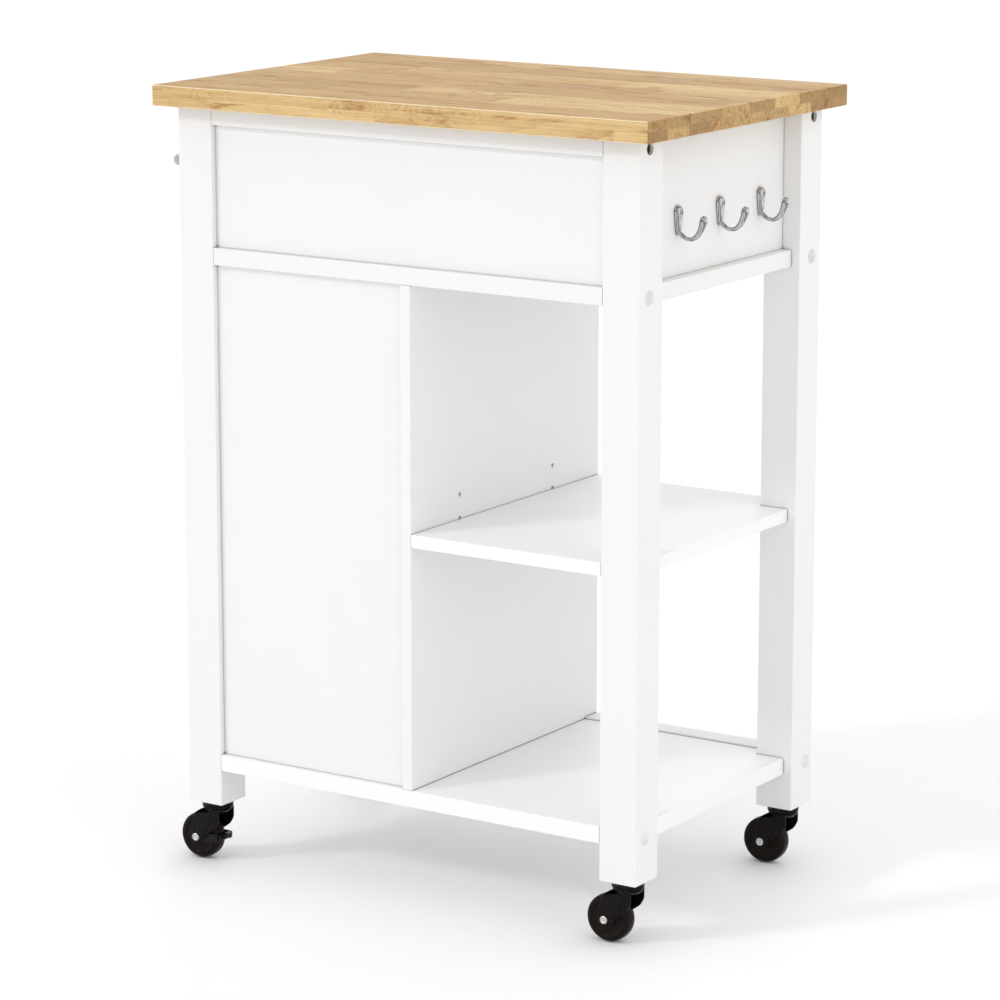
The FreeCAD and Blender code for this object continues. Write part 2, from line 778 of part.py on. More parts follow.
caps = []
for sx, sy, corner in CORNERS:
    for row in ("mid", bottom_row(sy)):
        caps.append(screw_cap(sx, sy, row))
node(group("screw_caps", caps))

# ---------------------------------------------------------------- drawer
drawer_floor = mid_level + drawer_lift
drawer_top = drawer_floor + drawer_height
box_out = inner_x - runner_space
box_in = box_out - drawer_side_thick
front_back = drawer_front_thick - post_y
back_front = drawer_back_y - drawer_side_thick
groove = 5
base_under = drawer_floor + 8
base_thick = 6
knob_level = (mid_level + rail_bottom) / 2
knob_bite = 10
node(slab(
    "drawer_bottom",
    (-box_in - groove, box_in + groove), (front_back, drawer_back_y),
    (base_under, base_under + base_thick),
))


def drawer_knob_bolt():
    """Screw from inside the drawer into its knob."""
    return pan_screw(0, front_back, knob_level, "-y", drawer_front_thick + knob_bite)


front_blank = slab(
    "drawer_front",
    (front_gap - inner_x, inner_x - front_gap), (-post_y, front_back),
    (mid_level + front_gap, rail_bottom - front_gap), edge_ease,
)
node(cut("drawer_front", front_blank, [drawer_knob_bolt()]))
drawer_sides = []
for sx, side in SIDES:
    x0, x1 = (box_in, box_out) if sx > 0 else (-box_out, -box_in)
    blank = slab("drawer_side", (x0, x1), (front_back, drawer_back_y), (drawer_floor, drawer_top))
    x0, x1 = (box_in, box_in + groove) if sx > 0 else (-box_in - groove, -box_in)
    slot = brick((x0, x1), (front_back, drawer_back_y), (base_under, base_under + base_thick))
    drawer_sides.append(cut("drawer_side_" + side, blank, [slot]))
node(group("drawer_sides", drawer_sides))
node(slab(
    "drawer_back",
    (-box_in, box_in), (back_front, drawer_back_y), (base_under + base_thick, drawer_top),
))

# Each runner is a pair of nested steel channels.
runner_mid = drawer_floor + drawer_height / 2
runner_half = runner_height / 2
runner_play = 0.5
moving_half = runner_half - runner_sheet - runner_play
fixed_flange = 8.5
moving_flange = 9
runner_start = 21 - post_y
runner_end = post_y - 22


def channel(web_x, lip_x, half, start, end):
    """A steel channel lying along Y, its web at web_x and its flanges reaching to lip_x."""
    outward = lip_x.value > web_x.value
    web_range = (web_x, web_x + runner_sheet) if outward else (web_x - runner_sheet, web_x)
    flange_range = (web_x, lip_x) if outward else (lip_x, web_x)
    low = runner_mid - half
    high = runner_mid + half
    web = brick(web_range, (start, end), (low, high))
    over = brick(flange_range, (start, end), (high - runner_sheet, high))
    under = brick(flange_range, (start, end), (low, low + runner_sheet))
    return joined("channel", [web, over, under])


fixed_runners = []
moving_runners = []
for sx, side in SIDES:
    lip_x = (inner_x - fixed_flange) * sx
    fixed_runners.append(channel(inner_x * sx, lip_x, runner_half, runner_start, runner_end))
    lip_x = (box_out + moving_flange) * sx
    start = front_back + 1
    moving_runners.append(channel(box_out * sx, lip_x, moving_half, start, drawer_back_y))
node(group("drawer_runners_fixed", fixed_runners))
node(group("drawer_runners_moving", moving_runners))

# ---------------------------------------------------------------- knobs
# (radius, height above the front) from the foot to the crown
knob_profile = [
    (0, 0), (8, 0), (8, 1.5), (5.5, 3), (5, 9), (6.5, 12), (11, 14), (13.5, 16.5),
    (14, 19), (13.2, 21.5), (10.5, 23.6), (6, 24.8), (0, 25),
]


def knob(label, x, z):
    """A turned metal knob standing on a front face."""
    body = turned(label, knob_profile)
    body.Placement = FreeCAD.Placement(FreeCAD.Vector(), DIRECTIONS["-y"])
    place(body, x, -post_y, z)
    return body


node(cut("drawer_knob", knob("drawer_knob", 0, knob_level), [drawer_knob_bolt()]))
drawer_knob_screw = drawer_knob_bolt()
drawer_knob_screw.Label = "drawer_knob_screw"
node(drawer_knob_screw)

# ---------------------------------------------------------------- door
door_left = divider_right + front_gap
door_right = inner_x - front_gap
door_low = bottom_level + lip_rise + front_gap
door_high = mid_under - front_gap
door_back = door_thick - post_y
door_knob_x = door_left + 28
door_knob_z = 440


def door_leaf_screws():
    """Screws holding the hinge leaves to the edge of the door."""
    screws = []
    for level in hinge_levels:
        for offset in hinge_screw_offsets:
            face = door_right + hinge_leaf
            screws.append(sunk_screw(face, hinge_screw_y, level + offset, "-x", HINGE_SCREW))
    return screws


def door_knob_bolt():
    """Screw from inside the cabinet into the door knob."""
    return pan_screw(door_knob_x, door_back, door_knob_z, "-y", door_thick + knob_bite)


catch_left = 14
catch_right = 54
catch_deep = 18.2
catch_tall = 18
catch_gap = 0.3
strike_mid = (catch_left + catch_right) / 2
strike_level = mid_under - 12
strike_half = 14
strike_half_tall = 7
strike_sheet = 1.5


def strike_screw():
    """Short screw through the strike plate into the door."""
    return sunk_screw(strike_mid, door_back + strike_sheet, strike_level, "-y", STRIKE_SCREW)


door_blank = slab(
    "door_panel",
    (door_left, door_right), (-post_y, door_back), (door_low, door_high), edge_ease,
)
door_tools = door_leaf_screws() + [strike_screw(), door_knob_bolt()]
node(cut("door_panel", door_blank, door_tools))
node(cut("door_knob", knob("door_knob", door_knob_x, door_knob_z), [door_knob_bolt()]))
door_knob_screw = door_knob_bolt()
door_knob_screw.Label = "door_knob_screw"
node(door_knob_screw)

strike_blank = slab(
    "catch_strike",
    (strike_mid - strike_half, strike_mid + strike_half),
    (door_back, door_back + strike_sheet),
    (strike_level - strike_half_tall, strike_level + strike_half_tall),
)
node(cut("catch_strike", strike_blank, [strike_screw()]))
strike_screw_node = strike_screw()
strike_screw_node.Label = "catch_strike_screw"
node(strike_screw_node)
catch_front = door_back + strike_sheet + catch_gap
node(slab(
    "door_catch",
    (catch_left, catch_right), (catch_front, catch_front + catch_deep),
    (mid_under - catch_tall, mid_under), 1,
))

# Butt hinges: the post leaf carries two knuckles, the door leaf the one between them.
knuckle_gap = 0.4
knuckle_third = (hinge_height - 2 * knuckle_gap) / 3
hinge_pin_play = 0.1
rivet_dia = 4.6
rivet_tall = 1.2
post_leaf_x = (inner_x - hinge_leaf, inner_x)
door_leaf_x = (door_right, door_right + hinge_leaf)


def knuckle(leaf_x, start):
    """One round hinge knuckle with the strip that joins it to its leaf."""
    tube = rod(hinge_barrel, knuckle_third, hinge_x, hinge_y, start, "+z")
    strip = brick(leaf_x, (hinge_y, -post_y), (start, start + knuckle_third))
    return [tube, strip]


def knuckle_bore(diameter, start):
    """The pin hole of one knuckle."""
    return rod(diameter, knuckle_third, hinge_x, hinge_y, start, "+z")


post_leaves = []
door_leaves = []
hinge_pins = []
for level in hinge_levels:
    low = level - hinge_height / 2
    high = level + hinge_height / 2
    second = low + knuckle_third + knuckle_gap
    third = second + knuckle_third + knuckle_gap
    leaf_y = (-post_y, leaf_depth - post_y)
    post_leaf = [brick(post_leaf_x, leaf_y, (low, high))]
    post_leaf += knuckle(post_leaf_x, low) + knuckle(post_leaf_x, third)
    bores = [knuckle_bore(hinge_pin, low), knuckle_bore(hinge_pin, third)]
    post_leaf_blank = joined("post_leaf_blank", post_leaf)
    post_leaves.append(cut("post_leaf", post_leaf_blank, bores + post_leaf_screws()))
    door_leaf = [brick(door_leaf_x, leaf_y, (low, high))] + knuckle(door_leaf_x, second)
    bore = knuckle_bore(hinge_pin + hinge_pin_play, second)
    door_leaf_blank = joined("door_leaf_blank", door_leaf)
    door_leaves.append(cut("door_leaf", door_leaf_blank, [bore] + door_leaf_screws()))
    pin = rod(hinge_pin, hinge_height, hinge_x, hinge_y, low, "+z")
    foot = rod(rivet_dia, rivet_tall, hinge_x, hinge_y, low, "-z")
    head = rod(rivet_dia, rivet_tall, hinge_x, hinge_y, high, "+z")
    hinge_pins.append(joined("hinge_pin", [pin, foot, head]))
node(group("hinge_post_leaves", post_leaves))
node(group("hinge_door_leaves", door_leaves))
node(group("hinge_pins", hinge_pins))
node(group("hinge_post_screws", post_leaf_screws()))
node(group("hinge_door_screws", door_leaf_screws()))

# ---------------------------------------------------------------- casters
axle_level = wheel_dia / 2
cup_dia = 34
cup_tall = 4.5
cup_under = post_foot - cup_tall
race_gap = 0.3
crown_top = cup_under - race_gap
crown_tall = 8.2
crown_under = crown_top - crown_tall
crown_plate = 3
crown_front = 11
crown_back = 6
head_dia = 33
head_tall = 5.4
neck_dia = 27
neck_tall = 5
kingpin = 6
kingpin_play = 0.2
button_dia = 11
button_tall = 2
arm_in = fork_gap / 2
arm_out = arm_in + fork_sheet
wheel_half = wheel_width / 2

stems = []
for sx, sy, corner in CORNERS:
    x = caster_x * sx
    y = caster_y * sy
    pin_under = crown_under - race_gap
    cup = rod(cup_dia, cup_tall, x, y, cup_under, "+z")
    stem = rod(stem_dia, stem_depth, x, y, post_foot, "+z")
    pin = rod(kingpin, cup_under - pin_under, x, y, pin_under, "+z")
    button = rod(button_dia, button_tall, x, y, pin_under - button_tall, "+z")
    stems.append(joined("caster_stem", [cup, stem, pin, button]))
node(group("caster_stems", stems))


def fork_arm(x, start, end):
    """One pressed side arm of the fork, from the crown down round the axle."""
    hub = x + wheel_trail
    level = axle_level
    points = [
        (x - crown_front, crown_top - 3), (x - crown_front, level + 20),
        (x - 7, level + 13), (x + 5, level + 4.5),
        (hub - 7, level - 3), (hub - 3, level - 7), (hub + 3, level - 7), (hub + 7, level - 3),
        (hub + 7, level + 22), (hub + 4.5, level + 26), (hub - 5, level + 33),
        (hub - 11, crown_top - 3),
    ]
    return side_plate("fork_arm", points, start, end - start)


def caster_fork(corner, x, y):
    """Swivel head, crown plate and two arms in one pressing."""
    head = rod(head_dia, head_tall, x, y, crown_top - head_tall, "+z")
    neck = rod(neck_dia, neck_tall, x, y, crown_under, "+z")
    crown = brick(
        (x - crown_front, x + wheel_trail - crown_back), (y - arm_out, y + arm_out),
        (crown_under, crown_under + crown_plate),
    )
    arms = [fork_arm(x, y + arm_in, y + arm_out), fork_arm(x, y - arm_out, y - arm_in)]
    label = "caster_fork_" + corner
    blank = joined(label, [head, crown, neck] + arms)
    swivel_hole = rod(kingpin + kingpin_play, 2 * crown_tall, x, y, crown_under - 2, "+z")
    axle_hole = rod(axle_dia, 2 * arm_out, x + wheel_trail, y - arm_out, axle_level, "+y")
    return cut(label, blank, [swivel_hole, axle_hole])


axle_head_dia = 8.6
axle_head_rim = 6.4
axle_head_tall = 1.6


def caster_axle(corner, x, y):
    """A rivet through both fork arms with a bevelled head on each side."""
    outer = arm_out + axle_head_tall
    shaft = rod(axle_dia, 2 * arm_out, x, y - arm_out, axle_level, "+y")
    back_head = taper(axle_head_rim, axle_head_dia, axle_head_tall, x, y + outer, axle_level, "-y")
    front_head = taper(axle_head_rim, axle_head_dia, axle_head_tall, x, y - outer, axle_level, "+y")
    return joined("caster_axle_" + corner, [shaft, back_head, front_head])


tread = wheel_dia / 2
hub_bore = axle_dia / 2 + 0.1
dish_edge = wheel_half - 1.2
hub_face = wheel_half + 1
# (radius, offset from the middle of the wheel): hub, dish, rim, rounded shoulder
wheel_half_profile = [
    (hub_bore, hub_face), (6, hub_face), (7, dish_edge), (17, dish_edge),
    (19, wheel_half), (tread - 3, wheel_half), (tread - 0.9, wheel_half - 0.9),
    (tread, wheel_half - 3),
]
wheel_mirrored = [(radius, -offset) for radius, offset in reversed(wheel_half_profile)]
for sx, sy, corner in CORNERS:
    x = caster_x * sx
    y = caster_y * sy
    node(caster_fork(corner, x, y))
    node(caster_axle(corner, x + wheel_trail, y))
    wheel = turned("caster_wheel_" + corner, wheel_half_profile + wheel_mirrored)
    wheel.Placement = FreeCAD.Placement(FreeCAD.Vector(), DIRECTIONS["+y"])
    place(wheel, x + wheel_trail, y, axle_level)
    node(wheel)

# Brake levers on the two right-hand casters: a yoke on the axle with a bridge and a foot tab.
cheek_gap = 1.4
cheek_sheet = 1.2
cheek_in = wheel_half + cheek_gap
cheek_out = cheek_in + cheek_sheet
bridge_near = 27
bridge_far = 30
tab_far = 34
tab_half = 6.5
brake_play = 0.2


def brake_cheek(hub, start):
    """One side of the brake yoke, from round the axle to the foot tab."""
    level = axle_level
    points = [
        (hub - bridge_far, level - 3), (hub - 6, level - 5.5), (hub + 3, level - 5.5),
        (hub + 5.5, level), (hub + 3, level + 5.5), (hub - 6, level + 5.5),
        (hub - bridge_far, level + 5),
    ]
    return side_plate("brake_cheek", points, start, cheek_sheet)


for sy, end in ENDS:
    label = "brake_lever_%s_right" % end
    hub = caster_x + wheel_trail
    y = caster_y * sy
    cheeks = [brake_cheek(hub, y + cheek_in), brake_cheek(hub, y - cheek_out)]
    bridge = brick(
        (hub - bridge_far, hub - bridge_near), (y - cheek_out, y + cheek_out),
        (axle_level - 1, axle_level + 5),
    )
    tab = brick(
        (hub - tab_far, hub - bridge_near), (y - tab_half, y + tab_half),
        (axle_level, axle_level + 5),
    )
    bore = rod(axle_dia + brake_play, 2 * cheek_out, hub, y - cheek_out, axle_level, "+y")
    node(cut(label, joined(label, cheeks + [bridge, tab]), [bore]))

# ---------------------------------------------------------------- check and export
doc.recompute()
problems = []
for obj in doc.Objects:
    state = [flag for flag in obj.State if flag in ("Invalid", "Error")]
    if state:
        problems.append("%s: %s" % (obj.Label, state))
for label, obj in nodes.items():
    shape = obj.Shape
    if shape.isNull() or not shape.isValid() or not shape.Solids:
        problems.append("%s: bad shape" % label)
if problems:
    raise RuntimeError("; ".join(problems))

os.makedirs("parts", exist_ok=True)
for label, obj in nodes.items():
    obj.Shape.exportStep("parts/%s.step" % label)
print("%d nodes written" % len(nodes))
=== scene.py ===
import math
import random

import bmesh
import bpy
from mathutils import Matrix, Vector


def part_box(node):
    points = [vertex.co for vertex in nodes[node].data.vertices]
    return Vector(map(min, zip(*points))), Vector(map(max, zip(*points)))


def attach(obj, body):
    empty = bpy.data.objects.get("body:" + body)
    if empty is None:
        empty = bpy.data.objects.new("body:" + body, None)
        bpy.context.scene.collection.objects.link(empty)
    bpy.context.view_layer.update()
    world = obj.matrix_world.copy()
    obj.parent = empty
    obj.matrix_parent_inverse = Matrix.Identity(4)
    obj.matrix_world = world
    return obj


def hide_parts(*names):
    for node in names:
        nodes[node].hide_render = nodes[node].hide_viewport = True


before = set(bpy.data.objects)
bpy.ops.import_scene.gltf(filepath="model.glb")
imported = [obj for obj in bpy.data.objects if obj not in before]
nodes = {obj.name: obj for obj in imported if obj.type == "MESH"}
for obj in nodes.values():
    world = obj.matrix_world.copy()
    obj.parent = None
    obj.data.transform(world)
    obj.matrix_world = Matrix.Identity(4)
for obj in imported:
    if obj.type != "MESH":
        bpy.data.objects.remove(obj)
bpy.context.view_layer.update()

# Metres. X runs to the right seen from the front, Y from front to back, Z up, floor at zero.
MM = 0.001
CORNERS = ("front_right", "front_left", "back_right", "back_left")
BRAKED_CORNERS = ("front_right", "back_right")


# ---------------------------------------------------------------- node materials
# painted shade: the paint's colour is darkened where painted pieces meet, as if shade gathered there
PAINTED_SHADE_SAMPLES = 4
PAINTED_SHADE_REACH = 3.6 * MM
PAINTED_SHADE_COLOUR = (0.17, 0.145, 0.13, 1.0)
# growth rings of the wood, and how its knots bend them
RINGS_PER_METRE = 150.0
KNOT_PULL = 1.7
KNOT_CORE = 0.16
KNOT_STRETCH = 0.45


class Graph:
    """A procedural material written as calls; each call adds a node and gives its output."""

    def __init__(self, name):
        self.material = bpy.data.materials.new(name)
        self.material.use_nodes = True
        self.tree = self.material.node_tree
        self.shader = self.tree.nodes["Principled BSDF"]
        self.place = self.node("ShaderNodeTexCoord").outputs["Object"]

    def node(self, kind, **settings):
        """Add a node with these settings."""
        made = self.tree.nodes.new(kind)
        for key, value in settings.items():
            setattr(made, key, value)
        return made

    def feed(self, socket, value):
        """Link an output to a socket, or give the socket a constant."""
        if isinstance(value, bpy.types.NodeSocket):
            self.tree.links.new(value, socket)
        else:
            socket.default_value = value

    def set(self, **values):
        """Set constants on the shader, or link a socket to it."""
        for key, value in values.items():
            self.feed(self.shader.inputs[key.replace("_", " ")], value)

    def math(self, operation, *values):
        """Arithmetic on numbers or outputs."""
        made = self.node("ShaderNodeMath", operation=operation)
        for socket, value in zip(made.inputs, values):
            self.feed(socket, value)
        return made.outputs[0]

    def vector(self, operation, *values):
        """Arithmetic on vectors; a length or a distance gives a number."""
        made = self.node("ShaderNodeVectorMath", operation=operation)
        for socket, value in zip(made.inputs, values):
            self.feed(socket, value)
        return made.outputs["Value" if operation in ("LENGTH", "DISTANCE") else "Vector"]

    def scaled(self, factors, source=None):
        """Coordinates stretched by a factor per axis."""
        return self.vector("MULTIPLY", source or self.place, factors)

    def noise(self, source, scale=1.0, detail=2.0, roughness=0.5, distortion=0.0):
        """Fractal noise from 0 to 1; the coordinates are in metres before they are scaled."""
        made = self.node("ShaderNodeTexNoise")
        self.feed(made.inputs["Vector"], source)
        for key, value in (("Scale", scale), ("Detail", detail), ("Roughness", roughness),
                           ("Distortion", distortion)):
            self.feed(made.inputs[key], value)
        return made.outputs["Fac"]

    def remap(self, value, low, high, to_low=0.0, to_high=1.0, smooth=False):
        """A value's range from low to high, moved to another range."""
        kind = "SMOOTHSTEP" if smooth else "LINEAR"
        made = self.node("ShaderNodeMapRange", interpolation_type=kind)
        for key, number in (("Value", value), ("From Min", low), ("From Max", high),
                            ("To Min", to_low), ("To Max", to_high)):
            self.feed(made.inputs[key], number)
        return made.outputs["Result"]

    def mix(self, share, first, second, blend="MIX"):
        """The first colour, with a share of the second blended over it."""
        made = self.node("ShaderNodeMix", data_type="RGBA", blend_type=blend)
        self.feed(made.inputs["Factor"], share)
        for key, value in (("A", first), ("B", second)):
            socket = [s for s in made.inputs if s.name == key and s.type == "RGBA"][0]
            self.feed(socket, value)
        return [s for s in made.outputs if s.type == "RGBA"][0]

    def painted_crevice_shade(self, reach):
        """Painted shade: how strongly to darken the colour where a point lies deep in a joint or corner,
        from surfaces within reach.
        """
        made = self.node("ShaderNodeAmbientOcclusion", samples=PAINTED_SHADE_SAMPLES)
        self.feed(made.inputs["Distance"], reach)
        return self.remap(made.outputs["AO"], 0.36, 0.78, 0.78, 0.0, smooth=True)

    def bump(self, *layers):
        """Bump from (height, depth in metres) pairs, one on top of the other."""
        normal = None
        for height, depth in layers:
            made = self.node("ShaderNodeBump")
            self.feed(made.inputs["Strength"], 1.0)
            self.feed(made.inputs["Distance"], depth)
            self.feed(made.inputs["Height"], height)
            if normal is not None:
                self.feed(made.inputs["Normal"], normal)
            normal = made.outputs["Normal"]
        self.feed(self.shader.inputs["Normal"], normal)


def grey(value, warm=0.0):
    """A near-neutral colour; warm takes a little away from green and more from blue."""
    return (value, value * (1 - 0.4 * warm), value * (1 - warm), 1.0)


def paint(name, grain, tone=0.83, relief=1.0):
    """Satin white paint with painted shade in its joints and corners; grain gives the stretch of the wood
    texture under it, per axis.
    """
    g = Graph(name)
    cloud = g.noise(g.place, 5.0, 3.0)
    fibre = g.noise(g.scaled(grain), 1.0, 4.0, 0.6)
    dimple = g.noise(g.place, 1300.0, 2.0)
    shade = g.math("ADD", g.math("MULTIPLY", cloud, 0.6), g.math("MULTIPLY", fibre, 0.4))
    base = g.mix(g.remap(shade, 0.3, 0.7), grey(tone * 0.98, 0.006), grey(tone, 0.002))
    rub = g.remap(g.noise(g.place, 38.0, 4.0, 0.65), 0.68, 0.80, 0.0, 0.35, smooth=True)
    base = g.mix(rub, base, grey(tone * 0.965, 0.004))
    # painted shade: the colour darkens towards a warm dark grey deep in joints and corners
    g.set(Base_Color=g.mix(g.painted_crevice_shade(PAINTED_SHADE_REACH), base, PAINTED_SHADE_COLOUR))
    satin = g.math("ADD", cloud, g.math("MULTIPLY", dimple, 0.5))
    g.set(Roughness=g.remap(satin, 0.4, 1.1, 0.34, 0.50))
    g.set(Specular_IOR_Level=0.42)
    g.bump((fibre, 0.00010 * relief), (dimple, 0.000035))
    return g.material


def butcher_block():
    """Rubberwood staves: each has its own tone and its own cut through the growth rings."""
    g = Graph("butcher_block_wood")
    stave = g.node("ShaderNodeAttribute", attribute_name="stave").outputs["Color"]
    parts = g.node("ShaderNodeSeparateColor")
    g.feed(parts.inputs[0], stave)
    tone, shift, turn = parts.outputs[0], parts.outputs[1], parts.outputs[2]
    seam = g.node("ShaderNodeAttribute", attribute_name="seam").outputs["Fac"]
    # every stave looks into another part of the same log
    offset = g.node("ShaderNodeCombineXYZ")
    g.feed(offset.inputs[0], g.math("MULTIPLY", shift, 7.0))
    g.feed(offset.inputs[1], g.math("MULTIPLY_ADD", turn, 0.30, -0.15))
    g.feed(offset.inputs[2], g.math("MULTIPLY_ADD", shift, 0.16, -0.98))
    inside = g.vector("ADD", g.place, offset.outputs[0])
    sway = g.math("SUBTRACT", g.noise(g.scaled((5.0, 16.0, 16.0), inside), 1.0, 3.0, 0.55), 0.5)
    ripple = g.math("SUBTRACT", g.noise(g.scaled((26.0, 60.0, 60.0), inside), 1.0, 2.0), 0.5)
    across = g.vector("LENGTH", g.scaled((0.0, 1.0, 1.0), inside))
    waver = g.math("MULTIPLY_ADD", sway, 0.050, g.math("MULTIPLY", ripple, 0.006))
    radius = g.math("ADD", across, waver)
    # knots pull the rings round themselves
    eye = None
    for centre, reach, darkness in KNOTS:
        eye_place = (centre[0] * KNOT_STRETCH, centre[1], centre[2])
        gap = g.vector("DISTANCE", g.scaled((KNOT_STRETCH, 1.0, 1.0)), eye_place)
        near = g.remap(gap, 0.0, reach, 1.0, 0.0, smooth=True)
        radius = g.math("ADD", radius, g.math("MULTIPLY", near, reach * KNOT_PULL))
        core = g.remap(gap, 0.0, reach * KNOT_CORE, darkness, 0.0, smooth=True)
        eye = core if eye is None else g.math("MAXIMUM", eye, core)
    ring = g.math("FRACT", g.math("MULTIPLY", radius, RINGS_PER_METRE))
    late = g.math("POWER", ring, 2.2)
    wide = g.noise(g.scaled((4.0, 30.0, 30.0), inside), 1.0, 3.0, 0.6)
    flame = g.noise(g.scaled((6.5, 34.0, 34.0), inside), 1.0, 5.0, 0.64, 2.4)
    streak = g.noise(g.scaled((7.0, 330.0, 330.0), inside), 1.0, 4.0, 0.65)
    pore = g.remap(g.noise(g.scaled((75.0, 1500.0, 1500.0), inside), 1.0, 2.0), 0.60, 0.70)
    # stave tone, late wood of the rings, brown flames, broad patches and pale streaks
    base = g.mix(tone, (0.440, 0.262, 0.100, 1), (0.690, 0.485, 0.225, 1))
    figure = g.remap(flame, 0.40, 0.62, 0.18, 0.90, smooth=True)
    base = g.mix(g.math("MULTIPLY", late, figure), base, (0.350, 0.165, 0.052, 1))
    burnt = g.remap(flame, 0.54, 0.66, 0.0, 0.80, smooth=True)
    base = g.mix(burnt, base, (0.285, 0.132, 0.042, 1))
    patch = g.remap(wide, 0.50, 0.74, 0.0, 0.40, smooth=True)
    base = g.mix(patch, base, (0.409, 0.210, 0.070, 1))
    base = g.mix(g.remap(streak, 0.40, 0.70, 0.0, 0.38), base, (0.760, 0.575, 0.310, 1))
    # end grain takes more of the finish, each block its own amount
    turned = g.node("ShaderNodeSeparateXYZ")
    g.feed(turned.inputs[0], g.node("ShaderNodeNewGeometry").outputs["Normal"])
    endwise = g.remap(g.math("ABSOLUTE", turned.outputs[0]), 0.6, 0.9)
    block = g.mix(turn, (0.52, 0.47, 0.42, 1), (1.06, 1.02, 0.94, 1))
    base = g.mix(endwise, base, g.mix(1.0, base, block, blend="MULTIPLY"))
    # painted light: the long side faces are painted paler, and a painted highlight runs along their
    # rounded edges
    sides_painted_paler = g.remap(g.math("ABSOLUTE", turned.outputs[1]), 0.6, 0.9)
    painted_paler_colour = g.mix(1.0, base, (1.19, 1.25, 1.30, 1), blend="MULTIPLY")
    base = g.mix(sides_painted_paler, base, painted_paler_colour)
    # painted highlight along the rounded edges between the top or bottom and the long sides
    arris_painted_highlight = g.math("ABSOLUTE", g.math("MULTIPLY", turned.outputs[2], turned.outputs[1]))
    base = g.mix(g.remap(arris_painted_highlight, 0.25, 0.48), base, (0.900, 0.760, 0.520, 1))
    base = g.mix(g.math("MULTIPLY", pore, 0.34), base, (0.300, 0.150, 0.060, 1))
    base = g.mix(g.math("MULTIPLY", seam, 0.38), base, (0.250, 0.125, 0.050, 1))
    base = g.mix(eye, base, (0.070, 0.032, 0.014, 1))
    g.set(Base_Color=base)
    sheen = g.math("ADD", g.math("MULTIPLY", late, 0.10), g.math("MULTIPLY", pore, 0.20))
    g.set(Roughness=g.math("ADD", sheen, g.remap(wide, 0.3, 0.7, 0.46, 0.58)))
    g.set(Specular_IOR_Level=0.22)
    open_pore = g.math("SUBTRACT", 1.0, pore)
    glue_line = g.math("SUBTRACT", 1.0, seam)
    g.bump((open_pore, 0.00006), (streak, 0.00005), (glue_line, 0.00004))
    return g.material


def metal(name, colour, low, high, brush=(1.0, 1.0, 1.0), relief=0.00001, depth=0.0):
    """Plated or polished metal; depth sets a painted reflection that darkens it where it turns towards a
    darker part of an imagined room.
    """
    g = Graph(name)
    smudge = g.noise(g.place, 90.0, 3.0, 0.6)
    line = g.noise(g.scaled(tuple(600.0 * b for b in brush)), 1.0, 3.0)
    dark = tuple(c * 0.86 for c in colour) + (1.0,)
    base = g.mix(g.remap(smudge, 0.35, 0.7), colour + (1.0,), dark)
    # painted reflection: dark patches by the way the surface faces, standing in for a darker room mirrored
    # in the metal
    if depth:
        turned = g.node("ShaderNodeNewGeometry").outputs["Normal"]
        painted_room_reflection = g.noise(turned, 2.3, 2.0, 0.6, 0.8)
        shade = g.remap(painted_room_reflection, 0.45, 0.58, depth, 0.0, smooth=True)
        base = g.mix(shade, base, tuple(c * 0.12 for c in colour) + (1.0,))
    g.set(Base_Color=base)
    g.set(Metallic=1.0)
    g.set(Roughness=g.remap(g.math("ADD", smudge, g.math("MULTIPLY", line, 0.6)), 0.4, 1.2, low, high))
    g.bump((line, relief))
    return g.material


def plastic(name, colour, low, high, dust=0.0, relief=0.00002, coat=0.0, specular=0.5):
    """Moulded plastic or paint: flow variation, fine texture and a little dust."""
    g = Graph(name)
    flow = g.noise(g.place, 55.0, 4.0, 0.6)
    fine = g.noise(g.place, 2200.0, 2.0)
    darker = tuple(c * 0.72 for c in colour) + (1.0,)
    base = g.mix(g.remap(flow, 0.3, 0.7), colour + (1.0,), darker)
    speck = g.remap(g.noise(g.place, 420.0, 3.0, 0.7), 0.62, 0.78, 0.0, dust, smooth=True)
    g.set(Base_Color=g.mix(speck, base, tuple(c * 2.6 + 0.01 for c in colour) + (1.0,)))
    g.set(Roughness=g.remap(g.math("ADD", flow, speck), 0.3, 0.9, low, high))
    g.set(Specular_IOR_Level=specular, Coat_Weight=coat, Coat_Roughness=0.05)
    g.bump((fine, relief), (flow, relief * 4))
    return g.material


# knots in the worktop: centre and reach in metres, darkness of the core
KNOTS = (
    ((-0.300, 0.125, 0.8266), 0.011, 1.0),
    ((0.036, 0.200, 0.8330), 0.020, 0.25),
    ((-0.046, 0.200, 0.8350), 0.017, 0.3),
    ((-0.088, 0.200, 0.8340), 0.013, 0.2),
    ((0.225, 0.200, 0.8345), 0.013, 0.35),
    ((0.040, 0.120, 0.8400), 0.022, 0.45),
    ((-0.120, -0.090, 0.8400), 0.030, 0.30),
    ((-0.150, 0.100, 0.8400), 0.034, 0.25),
    ((0.190, 0.060, 0.8400), 0.034, 0.30),
    ((-0.205, 0.020, 0.8400), 0.026, 0.30),
)

PAINT_UP = paint("white_paint_upright", (190.0, 190.0, 9.0))
PAINT_LONG = paint("white_paint_lengthwise", (7.0, 210.0, 210.0))
# a brighter copy of the white paint: painted light on the shelves and the bottom board, standing in for
# light falling on their tops
PAINT_SHELF_PAINTED_BRIGHTER = paint("white_paint_shelf_painted_brighter", (7.0, 210.0, 210.0), tone=0.89)
PAINT_PANEL = paint("white_paint_panel", (60.0, 60.0, 24.0), relief=0.35)
BOARD = paint("white_laminated_board", (900.0, 900.0, 900.0), tone=0.80, relief=0.2)
